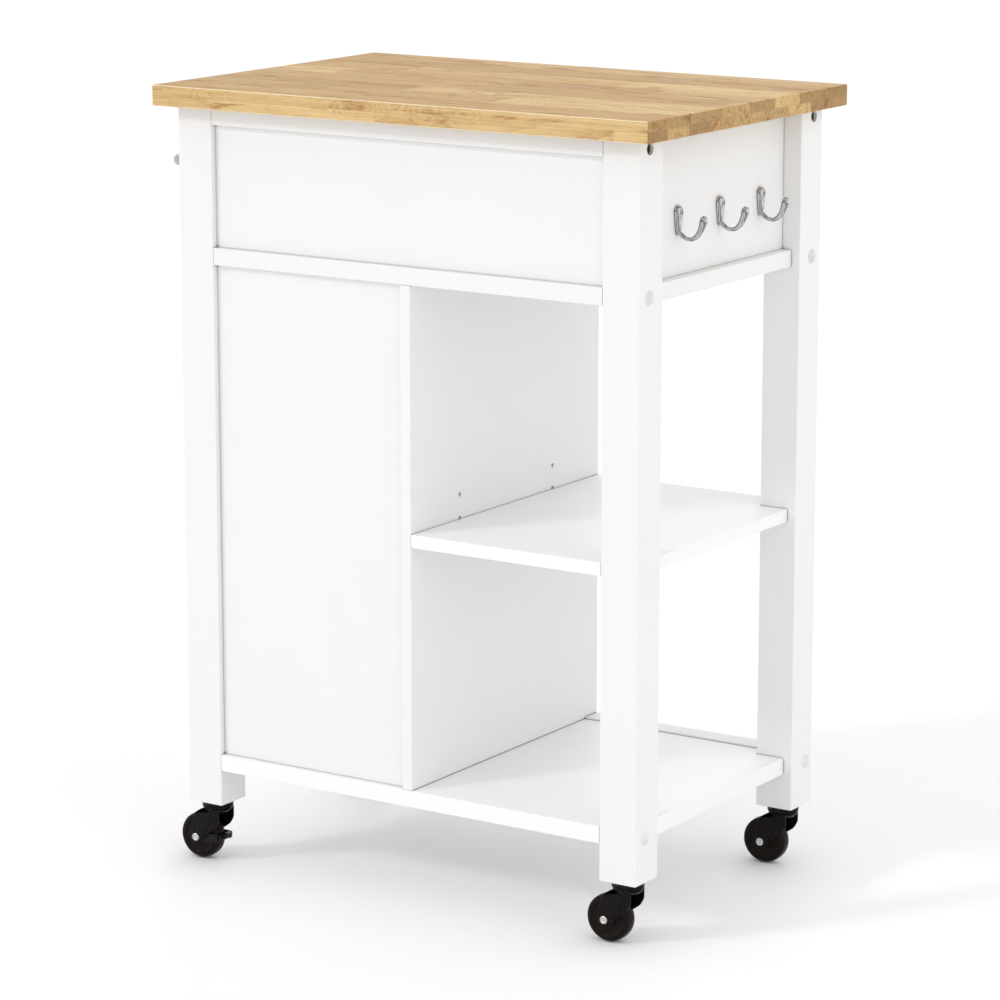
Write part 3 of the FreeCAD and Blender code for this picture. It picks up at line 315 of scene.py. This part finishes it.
# depth gives these metals a painted reflection of a darker room
CHROME = metal("polished_chrome", (0.72, 0.72, 0.75), 0.05, 0.12, (1.0, 1.0, 0.1), depth=0.85)
BRIGHT = metal("polished_chrome_round", (0.50, 0.50, 0.52), 0.06, 0.14)
NICKEL = metal("nickel_plate", (0.66, 0.64, 0.60), 0.16, 0.30, (0.1, 1.0, 1.0), depth=0.45)
ZINC = metal("zinc_plate", (0.52, 0.53, 0.54), 0.28, 0.48, (1.0, 0.08, 1.0), 0.00002, depth=0.3)
DARK_STEEL = metal("browned_screw_steel", (0.085, 0.070, 0.064), 0.30, 0.50)
RIVET = metal("rolled_rivet_steel", (0.80, 0.79, 0.77), 0.18, 0.34, depth=0.5)
CAP_PLASTIC = plastic("white_cap_plastic", (0.82, 0.82, 0.81), 0.30, 0.44)
FORK_PAINT = plastic(
    "caster_black_paint", (0.0060, 0.0046, 0.0042), 0.12, 0.22, dust=0.20, coat=0.05, specular=0.08,
)
WHEEL_PLASTIC = plastic(
    "caster_wheel_plastic", (0.0120, 0.0076, 0.0064), 0.16, 0.30, dust=0.25, specular=0.07,
)
BRAKE_PLASTIC = plastic(
    "brake_lever_plastic", (0.010, 0.0088, 0.0082), 0.28, 0.44, dust=0.20, specular=0.16,
)
STEM_STEEL = plastic(
    "caster_stem_paint", (0.0080, 0.0070, 0.0066), 0.18, 0.34, dust=0.20, specular=0.18,
)


def dress(material, *names):
    """Give CAD nodes their material."""
    for name in names:
        for holder in nodes[name].material_slots:
            holder.material = material


dress(PAINT_UP, *["post_" + corner for corner in CORNERS])
dress(PAINT_LONG, "front_top_rail", "back_top_rail", "mid_board", "bottom_front_rail", "drawer_front")
# the shelves and the bottom board get the brighter copy of the paint, which is painted light
dress(PAINT_SHELF_PAINTED_BRIGHTER, "open_shelf", "cabinet_shelf", "bottom_board")
dress(PAINT_PANEL, "upper_back_panel", "cabinet_back_panel", "divider_panel", "hook_side_panel")
dress(PAINT_PANEL, "towel_side_panel", "cabinet_side_panel", "door_panel")
dress(BOARD, "drawer_sides", "drawer_back", "drawer_bottom")
dress(BRIGHT, "towel_bar", "drawer_knob", "door_knob")
dress(NICKEL, "hinge_post_leaves", "hinge_door_leaves", "hinge_pins", "hinge_post_screws")
dress(NICKEL, "hinge_door_screws")
dress(DARK_STEEL, "frame_screws")
dress(ZINC, "worktop_screws", "towel_bar_screws", "drawer_knob_screw")
dress(ZINC, "door_knob_screw", "catch_strike", "catch_strike_screw", "shelf_pins")
dress(ZINC, "drawer_runners_fixed", "drawer_runners_moving")
dress(CAP_PLASTIC, "screw_caps", "door_catch")
dress(STEM_STEEL, "caster_stems")


# ---------------------------------------------------------------- mesh building
def new_piece(name, mesh, material, body):
    """Link a finished mesh as a piece of the cart."""
    mesh.materials.append(material)
    piece = bpy.data.objects.new(name, mesh)
    bpy.context.scene.collection.objects.link(piece)
    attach(piece, body)
    return piece


def mesh_from(bm, name, crease=35.0):
    """Turn a bmesh into a mesh, smooth except over sharp angles."""
    bmesh.ops.recalc_face_normals(bm, faces=bm.faces)
    mesh = bpy.data.meshes.new(name)
    bm.to_mesh(mesh)
    bm.free()
    mesh.shade_smooth()
    mesh.set_sharp_from_angle(angle=math.radians(crease))
    return mesh


# ---------------------------------------------------------------- butcher block worktop
# Y of the joints between the rows of staves, in the upper and the lower layer
UPPER_ROWS = (-0.200, -0.152, -0.098, -0.047, 0.004, 0.058, 0.101, 0.148, 0.200)
LOWER_ROWS = (-0.200, -0.170, -0.121, -0.074, -0.020, 0.036, 0.079, 0.122, 0.163, 0.200)
# half the width of a glue line, and the rounding of the block's edges
SEAM = 0.16 * MM
EDGE_ROUND = 1.5 * MM
# how far before the end a row's staves start, and how long they are
FIRST_JOINT = (0.02, 0.25)
STAVE_LENGTH = (0.17, 0.40)
STAVE_SEED = 11


def build_worktop():
    """The two-layer block of staves, its faces marked with the stave they belong to."""
    low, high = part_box("worktop")
    middle = (low.z + high.z) / 2
    rng = random.Random(STAVE_SEED)
    plans = []
    for rows in (UPPER_ROWS, LOWER_ROWS):
        plan = []
        for near, far in zip(rows, rows[1:]):
            joint = low.x - rng.uniform(*FIRST_JOINT)
            joints = []
            while joint < high.x:
                joint += rng.uniform(*STAVE_LENGTH)
                joints.append(joint)
            looks = []
            for stave in range(len(joints) + 1):
                looks.append((rng.random(), rng.random(), rng.random()))
            plan.append((near, far, joints, looks))
        plans.append(plan)

    def stave_at(point):
        """The look of the stave at a point, and 1 where the point is on a glue line."""
        plan = plans[0 if point.z > middle else 1]
        for near, far, joints, looks in plan:
            if point.y <= far or far == plan[-1][1]:
                index = sum(1 for joint in joints if joint < point.x)
                on_seam = min([abs(point.x - joint) for joint in joints]) < SEAM
                inner = [edge for edge in (near, far) if abs(edge) < high.y - SEAM]
                on_seam = on_seam or min([abs(point.y - edge) for edge in inner]) < SEAM
                on_seam = on_seam or abs(point.z - middle) < SEAM
                return looks[index], 1.0 if on_seam else 0.0
        raise ValueError(point)

    def cuts(start, end, marks):
        """Grid lines from end to end: rounded edges, and a pair of lines at each seam."""
        rounding = [EDGE_ROUND * share for share in (0.0, 0.08, 0.3, 0.62, 1.0)]
        lines = [start + r for r in rounding] + [end - r for r in rounding]
        for mark in marks:
            if start + 2 * EDGE_ROUND < mark < end - 2 * EDGE_ROUND:
                lines += [mark - SEAM, mark + SEAM]
        return sorted(lines)

    joints = [joint for plan in plans for row in plan for joint in row[2]]
    xs = cuts(low.x, high.x, joints)
    ys = cuts(low.y, high.y, sorted(set(UPPER_ROWS + LOWER_ROWS)))
    zs = cuts(low.z, high.z, [middle])
    bm = bmesh.new()
    found = {}

    def corner(x, y, z):
        """The vertex for a grid point, pulled in where the block's edges are rounded."""
        key = (round(x, 7), round(y, 7), round(z, 7))
        if key not in found:
            point = Vector((x, y, z))
            core = Vector([
                min(max(p, a + EDGE_ROUND), b - EDGE_ROUND) for p, a, b in zip(point, low, high)
            ])
            away = point - core
            if away.length > 1e-9:
                point = core + away.normalized() * EDGE_ROUND
            found[key] = bm.verts.new(point)
        return found[key]

    def side(us, vs, at):
        """One face of the block, as a grid of quads."""
        for u0, u1 in zip(us, us[1:]):
            for v0, v1 in zip(vs, vs[1:]):
                ring = [corner(*at(u, v)) for u, v in ((u0, v0), (u1, v0), (u1, v1), (u0, v1))]
                bm.faces.new(ring)

    for level in (low.z, high.z):
        side(xs, ys, lambda u, v: (u, v, level))
    for level in (low.y, high.y):
        side(xs, zs, lambda u, v: (u, level, v))
    for level in (low.x, high.x):
        side(ys, zs, lambda u, v: (level, u, v))
    mesh = mesh_from(bm, "worktop_block", 60.0)
    stave = mesh.color_attributes.new("stave", "FLOAT_COLOR", "CORNER")
    seam = mesh.attributes.new("seam", "FLOAT", "FACE")
    for face in mesh.polygons:
        look, on_seam = stave_at(face.center)
        seam.data[face.index].value = on_seam
        for loop in face.loop_indices:
            stave.data[loop].color = (*look, 1.0)
    piece = new_piece("worktop_block", mesh, butcher_block(), "cart")
    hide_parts("worktop")


build_worktop()


# ---------------------------------------------------------------- shared shapes
def lathe(bm, profile, centre, axis, closed=False, segments=72):
    """Turn (radius, offset) points round an axis, "y" or "z", through centre; millimetres in."""
    rings = []
    for radius, offset in profile:
        ring = []
        for step in range(segments if radius > 0 else 1):
            a = 2 * math.pi * step / segments
            u, v, w = radius * math.cos(a) * MM, radius * math.sin(a) * MM, offset * MM
            ring.append(bm.verts.new(centre + Vector((u, w, v) if axis == "y" else (u, v, w))))
        rings.append(ring)
    pairs = list(zip(rings, rings[1:]))
    if closed:
        pairs.append((rings[-1], rings[0]))
    for near, far in pairs:
        for step in range(segments):
            after = (step + 1) % segments
            loop = [near[step % len(near)], near[after % len(near)]]
            loop += [far[after % len(far)], far[step % len(far)]]
            unique = list(dict.fromkeys(loop))
            if len(unique) > 2:
                bm.faces.new(unique)


def rounded(points, radius, steps=5):
    """An outline with each corner rounded, by less where its sides are short."""
    result = []
    count = len(points)
    for index, corner in enumerate(points):
        corner = Vector(corner)
        before = Vector(points[index - 1]) - corner
        after = Vector(points[(index + 1) % count]) - corner
        reach = min(radius, before.length * 0.45, after.length * 0.45)
        start = corner + before.normalized() * reach
        end = corner + after.normalized() * reach
        for step in range(steps + 1):
            t = step / steps
            result.append(start * (1 - t) ** 2 + corner * 2 * t * (1 - t) + end * t ** 2)
    return result


def pressed(bm, points, start, end, centre, bevel, corner=1.5):
    """A plate with an XZ outline between two Y offsets, its rims rounded; millimetres in."""
    outline = rounded(points, corner)
    near = [bm.verts.new(centre + Vector((x, start, z)) * MM) for x, z in outline]
    far = [bm.verts.new(centre + Vector((x, end, z)) * MM) for x, z in outline]
    caps = [bm.faces.new(near), bm.faces.new(far)]
    count = len(outline)
    for index in range(count):
        after = (index + 1) % count
        bm.faces.new([near[index], near[after], far[after], far[index]])
    rims = [edge for cap in caps for edge in cap.edges]
    bmesh.ops.recalc_face_normals(bm, faces=bm.faces)
    bmesh.ops.bevel(bm, geom=rims, offset=bevel * MM, segments=3, profile=0.5, affect="EDGES")


# ---------------------------------------------------------------- casters
# millimetres; profiles are (radius, offset along the axis), outlines are (X, Z) from the axle
WHEEL_PROFILE = (
    (2.2, 9.7), (5.2, 9.7), (5.7, 9.2), (6.1, 8.0), (7.0, 7.5), (10.5, 7.3), (11.0, 7.6), (11.6, 7.6),
    (12.1, 7.3), (16.4, 7.2), (17.3, 7.6), (18.2, 8.7), (19.0, 9.0), (20.4, 9.0), (21.0, 8.6),
    (21.6, 8.5), (22.6, 8.2), (23.6, 7.3), (24.4, 5.8), (24.85, 3.6), (25.0, 1.2),
)
RIVET_DOME = (
    (4.35, 0.0), (4.35, 0.5), (4.0, 1.0), (3.3, 1.35), (2.5, 1.5), (1.9, 1.42), (1.6, 0.95),
    (1.1, 0.7), (0.0, 0.66),
)
HEAD_PROFILE = (
    (3.1, 38.2), (15.6, 38.2), (16.5, 37.6), (16.8, 36.6), (16.5, 35.6), (15.2, 35.0), (14.8, 34.4),
    (15.3, 33.8), (15.6, 33.0), (15.2, 32.2), (13.6, 31.2), (13.0, 30.0), (3.1, 30.0),
)
ARM_OUT = 14.2
ARM_IN = 12.2
RIB_RISE = 0.7
TRAIL = 20.0
RIVET_SHANK = 1.95
RIVET_GAP = 0.05
ARM_OUTLINE = (
    (-31.0, 34.5), (-31.0, 21.0), (-26.5, 13.0), (-14.0, 4.0), (-7.0, -3.0), (-3.2, -6.8), (3.2, -6.8),
    (6.8, -2.0), (5.6, 12.0), (4.0, 22.5), (1.0, 27.4), (-6.0, 32.0), (-11.0, 34.5),
)
RIB_OUTLINE = ((-22.0, 29.0), (-17.5, 13.5), (-6.0, 4.5), (-1.5, 7.5), (-3.5, 22.0), (-9.0, 29.0))
HOOD_OUTLINE = (
    (-31.0, 34.8), (-31.0, 32.6), (-12.0, 32.4), (-6.5, 30.2), (0.6, 25.9), (1.6, 27.2), (-5.6, 32.0),
    (-11.0, 34.8),
)
CHEEK_OUTLINE = (
    (-30.0, -3.0), (-6.0, -5.6), (2.5, -5.6), (5.6, 0.0), (2.5, 5.6), (-6.0, 5.6), (-30.0, 5.4),
)
BRIDGE_OUTLINE = ((-30.2, -1.0), (-27.0, -1.0), (-27.0, 5.2), (-30.2, 5.2))
TAB_OUTLINE = ((-34.2, 0.6), (-27.5, -0.4), (-27.5, 5.0), (-33.0, 5.6), (-34.2, 4.8))
CHEEK_IN = 10.5
CHEEK_OUT = 11.5
TAB_HALF = 6.5
BEVEL_FINE = 0.5


def wheel_centre(corner):
    """The middle of a caster's wheel, on its axle."""
    low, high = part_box("caster_wheel_" + corner)
    return (low + high) / 2


def build_caster(corner):
    """Wheel, fork and riveted axle of one caster, about the axle's centre."""
    hub = wheel_centre(corner)
    bm = bmesh.new()
    profile = list(WHEEL_PROFILE) + [(radius, -offset) for radius, offset in reversed(WHEEL_PROFILE)]
    lathe(bm, profile, hub, "y", closed=True, segments=96)
    mesh = mesh_from(bm, "wheel_" + corner, 40.0)
    wheel = new_piece(
        "wheel_moulding_" + corner, mesh, WHEEL_PLASTIC, "wheel_" + corner,
    )
    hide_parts("caster_wheel_" + corner)

    bm = bmesh.new()
    lathe(bm, HEAD_PROFILE, hub - Vector((TRAIL * MM, 0, 0)), "z", closed=True)
    pressed(bm, HOOD_OUTLINE, -ARM_OUT, ARM_OUT, hub, 0.9)
    for side in (1, -1):
        pressed(bm, ARM_OUTLINE, side * ARM_IN, side * ARM_OUT, hub, 0.6, 3.0)
        rib_root = side * ARM_OUT * 0.96
        pressed(bm, RIB_OUTLINE, rib_root, side * (ARM_OUT + RIB_RISE), hub, BEVEL_FINE, 3.0)
    mesh = mesh_from(bm, "fork_" + corner)
    fork = new_piece(
        "fork_pressing_" + corner, mesh, FORK_PAINT, "fork_" + corner,
    )
    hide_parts("caster_fork_" + corner)

    bm = bmesh.new()
    half = ARM_OUT + RIVET_GAP
    dome = [(radius, half + offset) for radius, offset in RIVET_DOME]
    shank = [(0.0, -half), (RIVET_SHANK, -half), (RIVET_SHANK, half), (0.0, half)]
    lathe(bm, dome, hub, "y", segments=48)
    lathe(bm, [(radius, -offset) for radius, offset in dome], hub, "y", segments=48)
    lathe(bm, shank, hub, "y", segments=32)
    mesh = mesh_from(bm, "axle_" + corner, 50.0)
    axle = new_piece("axle_rivet_" + corner, mesh, RIVET, "fork_" + corner)
    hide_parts("caster_axle_" + corner)


def build_brake(corner):
    """The brake lever: two cheeks on the axle, a bridge and a tab for the foot."""
    hub = wheel_centre(corner)
    bm = bmesh.new()
    for side in (-1, 1):
        pressed(bm, CHEEK_OUTLINE, side * CHEEK_IN, side * CHEEK_OUT, hub, 0.3, 3.0)
    pressed(bm, BRIDGE_OUTLINE, -CHEEK_OUT, CHEEK_OUT, hub, BEVEL_FINE, 0.8)
    pressed(bm, TAB_OUTLINE, -TAB_HALF, TAB_HALF, hub, 0.8, 1.0)
    mesh = mesh_from(bm, "brake_" + corner)
    lever = new_piece(
        "brake_tab_" + corner, mesh, BRAKE_PLASTIC, "brake_" + corner,
    )
    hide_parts("brake_lever_" + corner)


for name in CORNERS:
    build_caster(name)
for name in BRAKED_CORNERS:
    build_brake(name)


# ---------------------------------------------------------------- coat hooks
# sizes in millimetres: the screw's drop below the plate's top, and the vertices round each section
SCREW_DROP = 8.0
PLATE_RAYS = 64
PRONG_RAYS = 32
# along the plate's face from the screw's recess to the rim: share of the way, height off the panel
PLATE_RISE = (
    (0.0, 2.3), (0.0, 4.3), (0.12, 4.75), (0.35, 4.7), (0.6, 4.35), (0.8, 3.6), (0.93, 2.5), (1.0, 1.2),
    (1.0, 0.0),
)
RECESS_FLOOR = 1.8
RECESS_MOUTH = 3.6
PLATE_UPPER = 6.3
PLATE_LOWER = 3.5
PLATE_LENGTH = 30.5
# prong: distance out from the panel, drop below the plate's top, half width along Y, half thickness
PRONG = (
    (1.0, 24.8, 3.1, 2.2), (3.0, 27.3, 3.0, 2.2), (6.2, 30.4, 2.7, 2.1), (10.5, 32.8, 2.5, 2.05),
    (15.2, 33.6, 2.5, 2.1), (19.6, 32.4, 2.7, 2.3), (23.4, 29.6, 3.0, 2.6), (26.4, 25.6, 3.4, 3.0),
    (28.6, 21.0, 3.8, 3.4), (30.0, 16.6, 4.2, 3.8), (30.6, 13.6, 4.4, 4.0), (30.9, 11.2, 3.9, 3.6),
    (31.0, 9.6, 2.8, 2.6), (31.05, 8.8, 1.2, 1.1),
)


def plate_reach(angle):
    """Distance from the screw to the rim of the tapered, round-ended plate."""
    best = 0.0
    steps = 60
    for step in range(steps + 1):
        share = step / steps
        radius = PLATE_UPPER + (PLATE_LOWER - PLATE_UPPER) * share
        centre = SCREW_DROP - PLATE_UPPER - share * (PLATE_LENGTH - PLATE_UPPER - PLATE_LOWER)
        # a circle of this radius, its centre straight above or below the screw
        across = centre * math.cos(angle)
        if abs(across) <= radius:
            best = max(best, centre * math.sin(angle) + math.sqrt(radius * radius - across * across))
    return best


def skin(bm, rings):
    """Faces between rings of vertices, one ring after the other."""
    for near, far in zip(rings, rings[1:]):
        count = len(near)
        for step in range(count):
            after = (step + 1) % count
            bm.faces.new([near[step], near[after], far[after], far[step]])


def build_hooks():
    """Three cast hooks: a domed teardrop plate and a prong that swells towards its tip."""
    panel_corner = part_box("side_hooks")[1]
    bm = bmesh.new()
    for y in HOOK_PLACES:
        root = Vector((panel_corner.x, y, panel_corner.z))
        reach = [plate_reach(2 * math.pi * ray / PLATE_RAYS) for ray in range(PLATE_RAYS)]
        rings = []
        for share, height in PLATE_RISE:
            ring = []
            for ray in range(PLATE_RAYS):
                angle = 2 * math.pi * ray / PLATE_RAYS
                inner = RECESS_MOUTH if height > 3 else RECESS_FLOOR
                radius = inner + (reach[ray] - inner) * share
                along = Vector((-height, radius * math.cos(angle), radius * math.sin(angle) - SCREW_DROP))
                ring.append(bm.verts.new(root + along * MM))
            rings.append(ring)
        skin(bm, rings)
        bm.faces.new(rings[0])
        bm.faces.new(rings[-1])
        rings = []
        for index, (out, drop, wide, thick) in enumerate(PRONG):
            before = PRONG[max(index - 1, 0)]
            after = PRONG[min(index + 1, len(PRONG) - 1)]
            run = Vector((after[0] - before[0], before[1] - after[1])).normalized()
            ring = []
            for step in range(PRONG_RAYS):
                a = 2 * math.pi * step / PRONG_RAYS
                lift = Vector((-run.y, run.x)) * math.sin(a) * thick
                along = Vector((-out - lift.x, wide * math.cos(a), -drop + lift.y))
                ring.append(bm.verts.new(root + along * MM))
            rings.append(ring)
        skin(bm, rings)
        bm.faces.new(rings[0])
        bm.faces.new(rings[-1])
    mesh = mesh_from(bm, "hook_castings", 50.0)
    hooks = new_piece("hook_castings", mesh, CHROME, "cart")
    smooth = hooks.modifiers.new("smooth", "SUBSURF")
    smooth.levels = 1
    smooth.render_levels = 2
    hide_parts("side_hooks")


CROSS_ARM = 1.9
CROSS_HALF = 0.45
CROSS_RISE = 0.25
CROSS_DEPTH = 1.1
CROSS_TAPER = 0.7
SCREW_HEAD = 3.4
SCREW_SHANK = 1.7
SCREW_CONE = 1.75
SCREW_LENGTH = 14.0


def build_hook_screws():
    """Countersunk screws with a cross recess, one in each hook."""
    low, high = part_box("hook_screws")
    middle = (low.z + high.z) / 2
    bm = bmesh.new()
    for y in HOOK_PLACES:
        centre = Vector((low.x, y, middle))
        # the head's face has a cross cut in it: outline, floor of the cross, then the cone and shank
        arm, half = CROSS_ARM, CROSS_HALF
        cross = [
            (half, half), (half, arm), (-half, arm), (-half, half), (-arm, half), (-arm, -half),
            (-half, -half), (-half, -arm), (half, -arm), (half, -half), (arm, -half), (arm, half),
        ]
        taper = CROSS_TAPER
        upper = [bm.verts.new(centre + Vector((-CROSS_RISE, u, v)) * MM) for u, v in cross]
        floor = [bm.verts.new(centre + Vector((CROSS_DEPTH, u * taper, v * taper)) * MM) for u, v in cross]
        rings = [floor, upper]
        for radius, depth in ((SCREW_HEAD, 0.0), (SCREW_SHANK, SCREW_CONE), (SCREW_SHANK, SCREW_LENGTH)):
            ring = []
            for u, v in cross:
                away = Vector((u, v)).normalized() * radius
                ring.append(bm.verts.new(centre + Vector((depth, away.x, away.y)) * MM))
            rings.append(ring)
        skin(bm, rings)
        bm.faces.new(rings[0])
        bm.faces.new(rings[-1])
    mesh = mesh_from(bm, "hook_screw_heads", 30.0)
    screws = new_piece("hook_screw_heads", mesh, NICKEL, "cart")
    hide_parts("hook_screws")


# the screw heads reach this far either side of the outer hooks
HEAD_REACH = 3.5 * MM
screws_low, screws_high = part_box("hook_screws")
HOOK_PLACES = (
    screws_low.y + HEAD_REACH, (screws_low.y + screws_high.y) / 2, screws_high.y - HEAD_REACH,
)
build_hooks()
build_hook_screws()


# ---------------------------------------------------------------- floor, light and camera
FLOOR_REACH = 40.0
FLOOR_DROP = 0.4 * MM
CENTRE = Vector((0.0, 0.0, 0.45))
LAMP_DISTANCE = 4.0
HORIZON_LIGHT = 1.01
ZENITH_LIGHT = 0.92
CAMERA_PLACE = (-2.2274, 3.3919, 1.2779)
CAMERA_HEADING = 33.291
CAMERA_DIP = 12.215
CAMERA_LENS = 141.07
CAMERA_SENSOR = 36.0


def build_floor():
    """A plain pale studio floor."""
    bm = bmesh.new()
    bmesh.ops.create_grid(bm, x_segments=8, y_segments=8, size=FLOOR_REACH)
    mesh = mesh_from(bm, "studio_floor")
    g = Graph("pale_floor")
    cloud = g.noise(g.place, 0.8, 3.0)
    g.set(Base_Color=g.mix(cloud, grey(0.93), grey(0.95)), Specular_IOR_Level=0.1)
    g.set(Roughness=g.remap(g.noise(g.place, 30.0, 3.0), 0.3, 0.7, 0.75, 0.9))
    mesh.materials.append(g.material)
    floor = bpy.data.objects.new("studio_floor", mesh)
    floor.location.z = -FLOOR_DROP
    bpy.context.scene.collection.objects.link(floor)


def direction(azimuth, elevation):
    """From the cart towards a place round it: 0 is in front, 90 at the towel bar."""
    a = math.radians(azimuth)
    e = math.radians(elevation)
    return Vector((math.sin(a) * math.cos(e), -math.cos(a) * math.cos(e), math.sin(e)))


def lamp(name, azimuth, elevation, spread, strength):
    """A distant soft light; spread is how wide it looks from the cart, in degrees."""
    data = bpy.data.lights.new(name, "SUN")
    data.angle = math.radians(spread)
    data.energy = strength
    light = bpy.data.objects.new(name, data)
    away = direction(azimuth, elevation)
    light.location = CENTRE + away * LAMP_DISTANCE
    light.rotation_mode = "QUATERNION"
    light.rotation_quaternion = (-away).to_track_quat("-Z", "Y")
    bpy.context.scene.collection.objects.link(light)


def build_world():
    """A soft white room, brightest at the horizon so that the floor runs into it."""
    world = bpy.data.worlds.new("studio")
    bpy.context.scene.world = world
    world.use_nodes = True
    tree = world.node_tree
    place = tree.nodes.new("ShaderNodeTexCoord")
    parts = tree.nodes.new("ShaderNodeSeparateXYZ")
    fade = tree.nodes.new("ShaderNodeMapRange")
    fade.interpolation_type = "SMOOTHSTEP"
    fade.inputs["From Min"].default_value = 0.02
    fade.inputs["From Max"].default_value = 0.55
    fade.inputs["To Min"].default_value = HORIZON_LIGHT
    fade.inputs["To Max"].default_value = ZENITH_LIGHT
    background = tree.nodes["Background"]
    background.inputs["Color"].default_value = (1.0, 1.0, 1.0, 1.0)
    tree.links.new(place.outputs["Generated"], parts.inputs[0])
    tree.links.new(parts.outputs["Z"], fade.inputs["Value"])
    tree.links.new(fade.outputs["Result"], background.inputs["Strength"])


build_floor()
build_world()
lamp("key_light", 147.0, 33.0, 9.0, 0.60)
lamp("side_light", 262.0, 30.0, 60.0, 0.36)
lamp("front_light", 20.0, 35.0, 25.0, 0.22)


def build_camera():
    """The view from behind, on the hook side."""
    data = bpy.data.cameras.new("camera")
    data.lens = CAMERA_LENS
    data.sensor_width = CAMERA_SENSOR
    camera = bpy.data.objects.new("camera", data)
    heading = math.radians(CAMERA_HEADING)
    dip = math.radians(CAMERA_DIP)
    look = Vector((
        math.sin(heading) * math.cos(dip), -math.cos(heading) * math.cos(dip), -math.sin(dip),
    ))
    camera.location = CAMERA_PLACE
    camera.rotation_mode = "QUATERNION"
    camera.rotation_quaternion = look.to_track_quat("-Z", "Y")
    bpy.context.scene.collection.objects.link(camera)
    bpy.context.scene.camera = camera


build_camera()
bpy.context.scene.view_settings.view_transform = "Standard"
bpy.context.view_layer.update()
